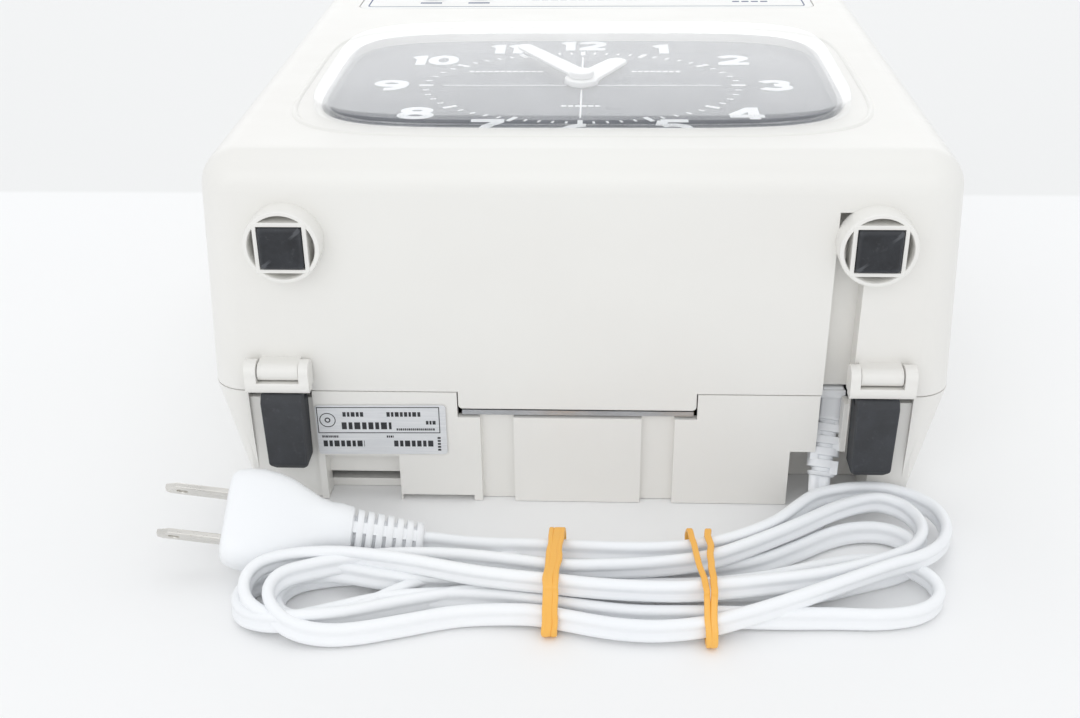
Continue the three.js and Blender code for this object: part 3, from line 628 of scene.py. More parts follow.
MATERIALS = {
    "ivory": moulded("ivory", rgb(239, 238, 234), rgb(235, 233, 229), 0.34, specular=0.45),
    "white_plastic": moulded("white_plastic", rgb(248, 249, 250), rgb(243, 245, 248), 0.4,
                             grain=0.00002, specular=0.45),
    "hand_enamel": moulded("hand_enamel", rgb(240, 240, 238), rgb(233, 233, 231), 0.38),
    "rubber": rubber("rubber", rgb(58, 60, 64), rgb(40, 41, 44), rgb(104, 106, 110)),
    "steel": metal("steel", (0.62, 0.63, 0.65, 1.0), 0.26, (0.08, 1.0, 1.0)),
    "clear": clear_acrylic("clear"),
    "dial_print": moulded("dial_print", rgb(33, 43, 62), rgb(26, 35, 52), 0.42),
    "dial_ink": printed("dial_ink", rgb(236, 238, 240)),
    "label_foil": foil("label_foil"),
    "label_ink": printed("label_ink", rgb(44, 45, 48)),
    "circuit_board": circuit_board("circuit_board"),
    "dark_plastic": moulded("dark_plastic", rgb(52, 54, 58), rgb(43, 45, 48), 0.5),
    "brass": metal("brass", (0.74, 0.57, 0.27, 1.0), 0.25),
    "amber_rubber": moulded("amber_rubber", rgb(252, 196, 96), rgb(244, 176, 66), 0.42,
                            grain=0.00006, grain_scale=1400, coat=0.3),
    "copper_coil": wound("copper_coil", rgb(188, 112, 58), rgb(120, 62, 30), 0.0006),
    "grey_white": moulded("grey_white", rgb(238, 239, 241), rgb(231, 233, 236), 0.42),
    "grey_plastic": moulded("grey_plastic", rgb(212, 213, 216), rgb(203, 205, 208), 0.42),
    "lamp_green": moulded("lamp_green", rgb(70, 180, 96), rgb(48, 150, 76), 0.18, coat=0.6),
    "motor_can": metal("motor_can", (0.55, 0.56, 0.58, 1.0), 0.3, (1.0, 0.1, 0.1)),
    "core_iron": wound("core_iron", rgb(92, 94, 98), rgb(40, 41, 44), 0.0011),
    "printed_panel": moulded("printed_panel", rgb(238, 238, 236), rgb(234, 234, 231), 0.36),
    "panel_ink": printed("panel_ink", rgb(66, 84, 122)),
    "nickel": metal("nickel", (0.80, 0.78, 0.74, 1.0), 0.22, (0.1, 1.0, 1.0), (0.42, 0.36, 0.28, 1.0)),
    "table": floor_paper("table"),
}
# the record's slot for each material that the record does not name itself
SLOT_OF = {
    "hand_enamel": "white_plastic", "grey_white": "white_plastic", "dial_ink": "white_plastic",
    "label_ink": "dark_plastic", "panel_ink": "printed_panel",
}


# ---------------------------------------------------------------- camera, light, table
# place and lens in millimetres; pitch is downwards, yaw to the right and roll anticlockwise, in degrees
CAMERA = {"place": (4.83, -427.7, 218.7), "pitch": 28.0, "yaw": -2.72, "roll": -0.7645,
          "lens": 43.6, "sensor": 36.0}
# name, place, aim and size in metres, and watts
LIGHTS = [("rear softbox", (0.0, 1.5, 0.62), (0.0, 0.0, 0.08), (2.6, 1.0), 4.4),
          ("overhead softbox", (0.0, 0.2, 1.5), (0.0, 0.0, 0.05), (1.4, 1.2), 2.0),
          ("front fill", (-0.3, -1.5, 1.0), (0.0, 0.0, 0.05), (1.8, 1.0), 5.0)]
SKY = {"colour": (0.97, 0.985, 1.0, 1.0), "strength": 0.88}
TABLE = {"reach": 3.0, "below": 0.0002}


def add_camera():
    pitch, yaw, roll = (math.radians(CAMERA[turn]) for turn in ("pitch", "yaw", "roll"))
    ahead = Vector((math.sin(yaw) * math.cos(pitch), math.cos(yaw) * math.cos(pitch), -math.sin(pitch)))
    right = Vector((math.cos(yaw), -math.sin(yaw), 0.0))
    up = right.cross(ahead)
    rolled_right = right * math.cos(roll) + up * math.sin(roll)
    rolled_up = up * math.cos(roll) - right * math.sin(roll)
    data = bpy.data.cameras.new("camera")
    data.sensor_width = CAMERA["sensor"]
    data.lens = CAMERA["lens"]
    data.clip_start = 0.01
    camera = bpy.data.objects.new("camera", data)
    turn = Matrix((rolled_right, rolled_up, -ahead)).transposed()
    camera.matrix_world = Matrix.Translation(Vector(CAMERA["place"]) * MM) @ turn.to_4x4()
    bpy.context.scene.collection.objects.link(camera)
    bpy.context.scene.camera = camera


def add_light(name, place_m, aim_m, size, watts):
    data = bpy.data.lights.new(name, "AREA")
    data.shape = "RECTANGLE"
    data.size, data.size_y = size
    data.energy = watts
    light = bpy.data.objects.new(name, data)
    towards = Vector(aim_m) - Vector(place_m)
    light.matrix_world = Matrix.Translation(place_m) @ towards.to_track_quat("-Z", "Y").to_matrix().to_4x4()
    light.visible_camera = False
    bpy.context.scene.collection.objects.link(light)


def add_studio():
    world = bpy.data.worlds.new("studio")
    world.use_nodes = True
    sky = world.node_tree.nodes["Background"].inputs
    sky["Color"].default_value = SKY["colour"]
    sky["Strength"].default_value = SKY["strength"]
    bpy.context.scene.world = world
    for light in LIGHTS:
        add_light(*light)
    bpy.context.scene.view_settings.view_transform = "Standard"
    table = bpy.data.meshes.new("table")
    reach = TABLE["reach"]
    table.from_pydata([(-reach, -reach, 0), (reach, -reach, 0), (reach, reach, 0), (-reach, reach, 0)],
                      [], [(0, 1, 2, 3)])
    table.materials.append(MATERIALS["table"])
    floor = bpy.data.objects.new("table", table)
    floor.location.z = -TABLE["below"]
    bpy.context.scene.collection.objects.link(floor)
    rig.stage(floor)


add_camera()
add_studio()


# ---------------------------------------------------------------- mains cord
# The route from the strain relief to the plug: down to the table, then to and fro through the hank.
LEAD = [(69.95, -0.95, 11.3), (69.6, -3.4, 8.2), (69.3, -7, 5.8), (68.4, -12, 4.1), (65, -18, 3.3)]
RUN_UNDER = [(58, -25, 3.2), (47, -30.4, 3.2), (33, -33.4, 3.9), (14, -34.4, 3.9), (-6, -33.6, 3.9),
             (-25, -35.6, 3.4), (-44, -38.6, 3.2), (-58, -41, 3.2)]
FOLD_INNER = [(-66, -42.4, 3.2), (-74.4, -45.6, 3.2), (-77.6, -52, 3.2), (-74.4, -58.6, 3.2),
              (-66, -60.2, 3.2)]
RUN_INNER = [(-57, -57, 3.2), (-49, -50.6, 3.2), (-40, -44.6, 3.2), (-26, -40.8, 3.4), (-6, -39.2, 3.9),
             (14, -39.8, 3.9), (33, -39.2, 3.9), (48, -35, 3.6), (60, -28, 3.4), (69, -21.8, 3.2)]
FOLD_NEST = [(77, -18.4, 3.2), (85.6, -18.2, 3.2), (92, -23, 3.2), (92.4, -30.8, 3.2),
             (86.6, -36.4, 3.2)]
RUN_MID = [(77, -40.4, 3.2), (66, -44.8, 3.2), (52, -48.6, 3.4), (33, -50.8, 3.9), (14, -51.2, 3.9),
           (-6, -48.8, 3.9), (-26, -48.4, 3.4), (-44, -53.4, 3.4), (-58, -59.6, 4.4), (-68, -62.6, 5.4)]
FOLD_MID = [(-77.6, -62.6, 4.6), (-85.6, -58.6, 3.6), (-88, -51.6, 3.2), (-84, -45.4, 3.2)]
RUN_BACK = [(-75, -43, 4.6), (-64, -44, 6.6), (-50, -45, 5), (-36, -45, 3.8), (-20, -44.4, 3.6),
            (-6, -44, 3.9), (14, -45.5, 3.9), (33, -45, 3.9), (50, -41.2, 3.6), (64, -37.4, 4.6)]
FOLD_LOW = [(76, -35.2, 5.4), (87, -35, 4.6), (94, -39.6, 3.4), (94.6, -47.2, 3.2), (89, -53.2, 3.2),
            (79, -55.8, 3.2)]
RUN_LOW = [(66, -55.8, 3.2), (52, -56.4, 3.4), (33, -56.8, 3.9), (14, -56.8, 3.9), (-6, -53.6, 3.9),
           (-22, -50.8, 3.4), (-37, -50.6, 3.2), (-50, -52.6, 3.2), (-62, -57, 3.2),
           (-71.5, -60.6, 3.4)]
FOLD_TOP = [(-77.5, -61.6, 4.8), (-83.4, -59, 7.4), (-85, -53.4, 9.8), (-82.6, -48.4, 11)]
RUN_TOP = [(-77.5, -45.4, 11.2), (-70, -43.2, 11), (-60, -42.4, 10.6), (-46, -44.2, 10.2),
           (-30, -48.2, 10), (-19, -50.4, 10), (-4, -52.6, 10.1), (7, -54, 10.1), (22, -54.8, 10.1),
           (33, -54, 10), (50, -50.4, 9.4), (66, -46.4, 9), (80, -40.2, 8.6)]
FOLD_RIGHT = [(89.6, -33.4, 7.4), (94.6, -25, 6.4), (95.2, -17.4, 6), (92, -11.2, 6.4), (86, -9.2, 7.4)]
RUN_RISING = [(79, -12, 8.4), (70.5, -17.6, 9.2), (61, -25.2, 9.8), (49.4, -33.2, 10), (36, -40.8, 10),
              (22, -44.2, 10), (8, -45.6, 10), (-4, -45.6, 9.8), (-18, -42.2, 9), (-32, -39.6, 8.4),
              (-48, -40.2, 8.6), (-62, -43.8, 9)]
FOLD_FRONT = [(-70, -47.4, 9.4), (-76.6, -51.6, 9.6), (-78.4, -57.6, 8.4), (-75.6, -62.6, 6.4),
              (-70, -65.2, 4.4)]
RUN_FRONT = [(-63, -65.8, 3.3), (-55, -65, 3.2), (-44, -61.8, 3.2), (-29, -57.4, 3.2),
             (-12, -57.2, 3.9), (-3.6, -58.8, 3.9), (4, -60.8, 3.9), (12, -62.4, 3.9), (22, -62.8, 3.9),
             (34, -61.4, 4.6), (46, -58.4, 6.4), (57, -54.8, 8.2), (69, -49.6, 9.4), (82, -42.8, 9.6)]
FOLD_OUTER = [(92, -36.8, 8.4), (99.4, -27.6, 6), (102.8, -17.6, 4.6), (101.4, -9.4, 4.8),
              (95.6, -5, 5.8), (88.6, -3.8, 7)]
RUN_TAIL = [(81, -5, 8.2), (73.4, -8.2, 9.2), (66.6, -12.2, 10), (61, -18.2, 10.2), (54.6, -25.2, 10.2),
            (44.4, -32, 10.1), (34, -36.2, 10), (22, -38.2, 10), (10, -38.2, 9.8), (-3, -36.6, 9),
            (-13, -34, 7.4), (-23, -31, 5.4), (-31, -28.8, 4.4), (-39, -27.1, 4.3), (-43.6, -26.8, 4.4)]
ROUTE = (LEAD + RUN_UNDER + FOLD_INNER + RUN_INNER + FOLD_NEST + RUN_MID + FOLD_MID + RUN_BACK + FOLD_LOW
         + RUN_LOW + FOLD_TOP + RUN_TOP + FOLD_RIGHT + RUN_RISING + FOLD_FRONT + RUN_FRONT + FOLD_OUTER
         + RUN_TAIL)


def spline(a, b, c, d, t):
    """The point a share t of the way from b to c on a smooth curve through a, b, c and d."""
    return 0.5 * (2 * b + (c - a) * t + (2 * a - 5 * b + 4 * c - d) * t * t
                  + (3 * b - a - 3 * c + d) * t ** 3)


def smooth_path(points, step=1.6, passes=10):
    """A smooth curve near the points, in equal steps, with its ends kept."""
    knots = [Vector(p) for p in points]
    knots = [knots[0] * 2 - knots[1]] + knots + [knots[-1] * 2 - knots[-2]]
    dense = []
    for a, b, c, d in zip(knots, knots[1:], knots[2:], knots[3:]):
        count = max(2, round((c - b).length / 0.8))
        dense += [spline(a, b, c, d, i / count) for i in range(count)]
    dense.append(knots[-2])
    for _ in range(passes):
        inner = [(p + 2 * q + r) / 4 for p, q, r in zip(dense, dense[1:], dense[2:])]
        dense = [dense[0]] + inner + [dense[-1]]
    lengths = [0.0]
    for p, q in zip(dense, dense[1:]):
        lengths.append(lengths[-1] + (q - p).length)
    total = lengths[-1]
    count = round(total / step)
    even = []
    k = 0
    for i in range(count + 1):
        want = total * i / count
        while k < len(lengths) - 2 and lengths[k + 1] < want:
            k += 1
        share = (want - lengths[k]) / max(1e-9, lengths[k + 1] - lengths[k])
        even.append(dense[k].lerp(dense[k + 1], min(1.0, share)))
    return even, total


def sweep(name, path, section, wide_at, loop=False):
    """A section of (across, through) pairs carried along a path; wide_at(i) is across's direction."""
    rings = []
    count = len(path)
    for i, p in enumerate(path):
        if loop:
            ahead = path[(i + 1) % count] - path[i - 1]
        else:
            ahead = path[min(i + 1, count - 1)] - path[max(i - 1, 0)]
        ahead.normalize()
        wide = wide_at(i)
        wide = (wide - ahead * wide.dot(ahead)).normalized()
        thin = ahead.cross(wide)
        outline = section(i) if callable(section) else section
        rings.append([tuple(p + wide * a + thin * b) for a, b in outline])
    return loft(name, rings, loop)


def twin_section(width, thick, count=28):
    """Two round cores side by side with a shallow groove between them."""
    core = thick / 2
    half = width / 2 - core
    points = []
    for i in range(count):
        t = 2 * math.pi * (i + 0.5) / count
        a = (half + core) * math.cos(t)
        beside = abs(abs(a) - half)
        b = math.sqrt(max(0.0, core * core - beside * beside))
        b = max(b, core * 0.4) if abs(a) < half else b
        points.append((a, math.copysign(b, math.sin(t))))
    return points


LEAD_LENGTH = 26.0


def make_cord():
    """The twin cord: flat where it leaves the strain relief, on its edge in the hank."""
    path, total = smooth_path(ROUTE)
    lead_share = LEAD_LENGTH / total
    upright = Vector((0.0, 0.0, 1.0))
    sideways = Vector((1.0, 0.0, 0.0))

    def wide_at(i):
        along = i / (len(path) - 1)
        turn = min(1.0, max(0.0, (along / lead_share - 0.45) / 0.9))
        lean = 0.22 * math.sin(along * 41.0) + 0.1 * math.sin(along * 97.0 + 1.0)
        return sideways.lerp(upright + Vector((0.0, lean, 0.0)), turn)

    cord = sweep("mains_cord", path, twin_section(CORD_WIDTH, CORD_THICK), wide_at)
    piece(cord, "mains_cord", "rear_housing", "white_plastic",
          replaces=("cord_lead", "cord_hank", "cord_tail"), angle=60)
    points = [(p.x * MM, (p.y + UNDERSIDE) * MM, p.z * MM) for p in path]
    return cord, points, total * MM


cord, cord_path, cord_length = make_cord()


def band_path(x_at, outline, wobble):
    """A closed line round the hank: the outline is (height, z), x_at gives x for a place on it."""
    knots = [Vector((x_at(d, z), d, z)) for d, z in outline]
    count = len(knots)
    path = []
    for i in range(count):
        a, b, c, d = (knots[(i + k - 1) % count] for k in range(4))
        for j in range(8):
            p = spline(a, b, c, d, j / 8)
            p.x += wobble * noise.noise(p * 0.21 + Vector((wobble * 7, 3, 1)))
            path.append(p)
    return path


def band_section(width, thick):
    return [(a, b) for a, b in round_rect(-width / 2, width / 2, -thick / 2, thick / 2, thick * 0.4, 3)]


def make_band(name, node, wraps):
    """A rubber band of several wraps round the hank."""
    strands = []
    for outline, x_top, x_front, x_floor, width in wraps:
        near = min(d for d, _ in outline)
        far = max(d for d, _ in outline)

        def x_at(d, z, top=x_top, front=x_front, floor=x_floor):
            share = (far - d) / (far - near)
            across = top + (front - top) * share
            return across if z > 3 else floor + (front - floor) * share

        path = band_path(x_at, outline, 0.5)
        strands.append(sweep(name, path, band_section(width, 1.0),
                             lambda i: Vector((1.0, 0.12 * math.sin(i * 0.3), 0.1)), loop=True))
    band = join_meshes(name, strands)
    return piece(band, name, "rear_housing", "amber_rubber", replaces=(node,), angle=60)


def band_outline(far, near, top, near_top):
    """(height, z) points round the strands at one band, counter-clockwise from the far foot."""
    return [(far, 2.0), (far - 0.3, 7.0), (far - 1.6, top - 0.8), (far - 5.0, top), (far - 11.0, top + 0.1),
            (near_top, top - 0.3), (near_top - 2.4, top - 2.2), (near + 1.0, 5.2), (near + 0.1, 2.2),
            (near + 1.2, 0.6), (near + 6.0, 0.55), (far - 8.0, 0.55), (far - 1.2, 0.65)]


LEFT_BAND = band_outline(-31.0, -62.0, 13.9, -55.6)
RIGHT_BAND = band_outline(-30.8, -65.2, 14.0, -57.0)
band_left = make_band("cord_band_left_rubber", "cord_band_left", [
    (LEFT_BAND, -4.4, -6.6, -6.0, 2.2), (LEFT_BAND, -3.2, -5.0, -5.0, 1.6),
    (LEFT_BAND, -6.2, -7.4, -7.0, 1.3)])
band_right = make_band("cord_band_right_rubber", "cord_band_right", [
    (RIGHT_BAND, 30.2, 34.0, 33.0, 1.6), (RIGHT_BAND, 35.4, 35.2, 34.6, 1.8)])


# ---------------------------------------------------------------- plug
PLUG_THICK = PLUG_AXIS.cross(PLUG_SPREAD).normalized()
PLUG_WIDE = PLUG_THICK.cross(PLUG_AXIS).normalized()


def plug_point(along, spread, through):
    p = Vector(PLUG_FACE) + PLUG_AXIS * along + PLUG_WIDE * spread + PLUG_THICK * through
    return tuple(p)


def plug_ring(along, half_wide, half_thick, power, count=40):
    """One rounded section of the plug, across its axis."""
    section = rounded_section(half_wide, half_thick, power, count)
    return [plug_point(along, spread, through) for spread, through in section]


def make_plug():
    """Moulded two-pin plug: a flared head with finger dips, and a slotted tapering boot."""
    sections = [(0.0, 10.4, 5.0, 3.6), (-0.6, 11.8, 6.4, 3.6), (-2.0, 12.8, 7.2, 3.8),
                (-5.0, 13.6, 7.6, 3.8), (-9.0, 13.9, 7.7, 3.6), (-13.0, 13.4, 7.5, 3.4),
                (-17.0, 12.2, 7.2, 3.2), (-21.0, 10.2, 6.8, 2.9), (-25.0, 8.2, 6.6, 2.6),
                (-28.0, 7.4, 6.8, 2.4), (-31.0, 7.4, 7.0, 2.3), (-34.0, 6.9, 6.6, 2.2)]
    slots = 7
    start, end = -34.0, -53.2
    pitch = (start - end) / slots
    for k in range(slots):
        top = start - k * pitch
        half = 6.6 - 1.7 * (k + 1) / slots
        thin = 6.2 - 1.7 * (k + 1) / slots
        full = (half, thin, 2.2)
        groove = (half * 0.72, thin * 0.72, 2.0)
        for share, size in ((0.15, full), (0.22, groove), (0.45, groove), (0.52, full), (0.98, full)):
            sections.append((top - share * pitch, *size))
    sections += [(end - 0.5, 4.4, 4.0, 2.2), (end - 0.9, 3.6, 3.0, 2.2)]
    rings = [plug_ring(*section) for section in sections]
    body = loft("plug_body_moulded", rings)
    ribs = []
    for side in (-1, 1):
        bar = []
        for along, reach in ((start + 3, 6.0), (end + 1, 4.1)):
            bar.append([plug_point(along, a, side * (reach + b)) for a, b in
                        ((-1.5, -1.6), (1.5, -1.6), (1.5, 0.0), (-1.5, 0.0))])
        ribs.append(loft("bar", bar))
    combine(body, "UNION", ribs)
    for side in (-1, 1):
        dip = rod("z", 9.0, -4.0, 4.0, 0.0, 0.0, 40)
        turn = Matrix((PLUG_AXIS, PLUG_THICK, PLUG_WIDE)).transposed().to_4x4()
        centre = Vector(plug_point(-12.0, 0.0, side * 15.9))
        centre.y += UNDERSIDE
        shift = Matrix.Translation(Vector((0.0, -UNDERSIDE, 0.0)) * MM)
        dip.data.transform(Matrix.Translation(centre * MM) @ turn @ shift)
        combine(body, "DIFFERENCE", dip)
    return piece(body, "plug_body_moulded", "rear_housing", "white_plastic", replaces=("plug_body",),
                 edge=0.25, angle=50)


def make_blade(name, node, side):
    """Flat plug blade with a slanted tip and a punched hole."""
    length, width = BLADE["length"], BLADE["width"]
    outline = [(-0.8, -width / 2), (length - 3.0, -width / 2), (length, -width / 2 + 2.4),
               (length, width / 2 - 1.2), (length - 1.4, width / 2), (-0.8, width / 2)]
    centre = side * BLADE["spacing"] / 2
    rings = []
    for across, by in ((-0.75, 0.25), (-0.5, 0.0), (0.5, 0.0), (0.75, 0.25)):
        rings.append([plug_point(a, centre + across, t) for a, t in inset(outline, by)])
    blade = loft(name, rings)
    hole = loft("hole", [[plug_point(length - 4.5 + a, centre + reach, t) for a, t in circle(1.5, 28)]
                         for reach in (-2.0, 2.0)])
    combine(blade, "DIFFERENCE", hole)
    return piece(blade, name, "rear_housing", "nickel", replaces=(node,), edge=0.08)


plug = make_plug()
blades = [make_blade("blade_lower", "plug_blade_lower", -1),
          make_blade("blade_upper", "plug_blade_upper", 1)]


# ---------------------------------------------------------------- strain relief
RELIEF_TOP = Vector((72.6, 9.0, 26.0))
RELIEF_END = Vector((70.3, -0.8, 11.9))


def make_strain_relief():
    """Clamped block, then a tapered boot with alternating slots."""
    axis = (RELIEF_END - RELIEF_TOP).normalized()
    across = Vector((1.0, 0.0, 0.0))
    across = (across - axis * across.dot(axis)).normalized()
    through = axis.cross(across)
    length = (RELIEF_END - RELIEF_TOP).length

    def ring(along, half_wide, half_thick, power, count=32):
        section = rounded_section(half_wide, half_thick, power, count)
        return [tuple(RELIEF_TOP + axis * along + across * a + through * b) for a, b in section]

    sections = [(-1.0, 3.8, 3.4, 3.0)]
    ribs = 5
    pitch = length / ribs
    for k in range(ribs):
        half = 4.7 - 0.1 * k
        top = pitch * k
        full = (half, 3.3 - 0.1 * k, 3.0)
        groove = (half * 0.66, 2.4, 2.4)
        for share, size in ((0.0, full), (0.6, full), (0.66, groove), (0.94, groove)):
            sections.append((top + share * pitch, *size))
    sections += [(length, 3.9, 2.9, 3.0), (length + 0.9, 3.7, 2.6, 3.0), (length + 1.2, 3.3, 2.2, 3.0)]
    boot = loft("strain_relief_boot", [ring(*section) for section in sections])
    bars = []
    for side in (-1, 1):
        for k in range(ribs):
            if k % 2 == (side + 1) // 2:
                continue
            low = RELIEF_TOP + axis * (pitch * k)
            high = RELIEF_TOP + axis * (pitch * (k + 1) + 0.4)
            bar = [[tuple(p + across * (side * 3.0 + a) + through * b)
                    for a, b in ((-1.1, -2.6), (1.1, -2.6), (1.1, 2.6), (-1.1, 2.6))] for p in (low, high)]
            bars.append(loft("bar", bar))
    block = box(69.4, 75.9, 5.7, 11.9, 24.5, 36.1, 0.7)
    lip = box(68.9, 76.2, 4.9, 6.0, 33.0, 35.6, 0.4)
    combine(boot, "UNION", bars)
    combine(boot, "UNION", block)
    combine(boot, "UNION", lip)
    return piece(boot, "strain_relief_boot", "rear_housing", "grey_white", replaces=("strain_relief",),
                 edge=0.2, angle=45)


relief = make_strain_relief()

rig.cord(cord, exit=cord_path[0], length=cord_length, diameter=CORD_WIDTH * MM, far_end="plug",
        stiffness="medium", lay="coiled", path=cord_path,
        with_pieces=[plug, blades[0], blades[1], band_left, band_right])


# ---------------------------------------------------------------- front cover
def front_taper(rings):
    """The front cover's sides lean in towards the face."""
    scale = FRONT_DRAFT / HALF_WIDTH
    return [[(x * (1 - (z - PARTING_Z) * scale), d, z) for x, d, z in ring] for ring in rings]


def front_rings(shrink, edge, top, steps=12):
    levels = [(PARTING_Z, 0.0)]
    for i in range(steps + 1):
        t = math.pi / 2 * i / steps
        levels.append((top - edge + edge * math.sin(t), edge * (1 - math.cos(t))))
    rings = []
    for z, by in levels:
        by_all = shrink + by
        outline = round_rect(-HALF_WIDTH + by_all, HALF_WIDTH - by_all, by_all, BODY_LENGTH - by_all,
                             edge + 0.4 - by, 14)
        rings.append([(x, d, z) for x, d in outline])
    return front_taper(rings)


def lens_section(steps):
    """Rings of the lens outline: each step is (half axes, growth, z)."""
    rings = []
    for base, grow, z in steps:
        rings.append([(x, d, z) for x, d in superellipse(base["a"], base["b"], grow)])
    return rings


# the faint raised line round the lens, as (growth of the lens outline, rise over the face)
RIDGE = [(4.2, -0.8), (4.3, 0.05), (4.7, 0.42), (5.1, 0.5), (5.5, 0.42), (5.9, 0.05), (6.0, -0.8)]


def make_foot_ring(side):
    """Round collar of a front foot, and the square frame its rubber pad sits in."""
    x, z = side * FOOT["x"], FOOT["z"]
    ring, r_out, r_in = FOOT["ring"], FOOT["ring_r"], FOOT["hole_r"]
    profile = [(r_in, 0.6), (r_in, -ring + 0.5), (r_in + 0.25, -ring), (r_out - 0.55, -ring),
               (r_out - 0.15, -ring + 0.2), (r_out, -ring + 0.7), (r_out, 0.6)]
    collar = lathe("collar", profile, "y", x, z, 96, loop=True)
    half, hole = FOOT["frame"], FOOT["pad"] + 0.2
    outline = round_rect(x - half, x + half, z - half, z + half, 0.8, 4)
    square = extrude("square", outline, "y", -ring - 0.2, 0.6, 0.25)
    combine(square, "DIFFERENCE", box(x - hole, x + hole, -12, 0, z - hole, z + hole))
    combine(square, "INTERSECT", rod("y", r_out - 0.2, -12, 2, x, z, 96))
    return collar, square


def mirrored(side, a, b):
    """The span from a to b on the right side, or its mirror image on the left."""
    return (a, b) if side > 0 else (-b, -a)


def make_knuckle(side):
    """Hinge knuckle that stands between the two ears of a hook."""
    gap0, gap1 = mirrored(side, HOOK["gap0"], HOOK["gap1"])
    knuckle = rod("x", HINGE["knuckle"], gap0, gap1, HINGE["height"], HINGE["z"], 40)
    root = box(gap0, gap1, HINGE["height"], 0.5, HINGE["z"] - 1.4, HINGE["z"] + 2.6)
    combine(knuckle, "UNION", root)
    bore = rod("x", HINGE["bore"], gap0 - 1, gap1 + 1, HINGE["height"], HINGE["z"], 32)
    return combine(knuckle, "DIFFERENCE", bore)


def make_front_cover():
    inner = front_rings(WALL, EDGE_R - 2, FACE_Z - WALL)
    cover = loft("front_casing", list(reversed(inner)) + front_rings(0.0, EDGE_R, FACE_Z))
    ridge = loft("ridge", lens_section([(LENS, grow, FACE_Z + rise) for grow, rise in RIDGE]), loop=True)
    tab = extrude("tab", round_rect(TAB["x0"], TAB["x1"], TAB["z"], PARTING_Z + 2, 1.2, 4), "y",
                  0.0, WALL, 0.35)
    slot_box = box(CORD_SLOT["x0"] - 2.2, CORD_SLOT["x1"] + 2.2, 1, CORD_SLOT["depth"] + 2.2,
                   PARTING_Z, CORD_SLOT["top"] + 2.2)
    combine(cover, "UNION", ridge, tab, slot_box)
    channel = box(CORD_SLOT["x0"], CORD_SLOT["x1"], -1, CORD_SLOT["depth"], PARTING_Z - 1,
                  CORD_SLOT["top"])
    opening = extrude("opening", superellipse(OPENING["a"], OPENING["b"]), "z", FACE_Z - 6, FACE_Z + 2)
    recess = extrude("recess", round_rect(-PANEL["half"], PANEL["half"], PANEL["low"], PANEL["high"],
                                          PANEL["r"]), "z", FACE_Z - PANEL["depth"], FACE_Z + 3)
    holes = [rod("z", BUTTON["hole"], 90, 120, x, BUTTON["height"]) for x, _ in BUTTONS.values()]
    holes.append(rod("z", LAMP["hole"], 90, 120, LAMP["x"], LAMP["height"], 24))
    holes.append(rod("y", LOCK["hole"], 205, 230, LOCK["x"], LOCK["z"], 40))
    card_way = extrude("card way", round_rect(-45.5, 45.5, 48.5, 57.5, 1.5), "y", 210, 225)
    card_rim = extrude("card rim", round_rect(-49.3, 49.3, 45.2, 60.8, 3), "y", BODY_LENGTH - 1.2, 230)
    hinge_gaps = both_sides(77.4, 88.3, -1, 4, 30, 40.2)
    combine(cover, "DIFFERENCE", opening, recess, holes, card_way, card_rim, hinge_gaps)
    combine(cover, "DIFFERENCE", channel)
    for side in (-1, 1):
        combine(cover, "UNION", *make_foot_ring(side), make_knuckle(side))
    return piece(cover, "front_casing", "front_case", "ivory", replaces=("front_cover",), edge=0.3)


make_front_cover()


def make_front_foot(node, side):
    """Square rubber pad, slightly crowned."""
    x, z, half = side * FOOT["x"], FOOT["z"], FOOT["pad"]
    sections = [(-FIT, half, 0.9), (-6.0, half, 0.9), (-7.2, half - 0.15, 0.9), (-7.6, half - 0.5, 0.9),
                (-7.75, half - 1.3, 1.2), (-FOOT["reach"], half - 3.0, 1.5)]
    rings = [[(u, d, v) for u, v in round_rect(x - h, x + h, z - h, z + h, r, 5)] for d, h, r in sections]
    pad = loft(node, rings)
    return piece(pad, node + "_pad", "front_case", "rubber", replaces=(node,))


for foot_node, foot_side in (("front_foot_left", -1), ("front_foot_right", 1)):
    make_front_foot(foot_node, foot_side)


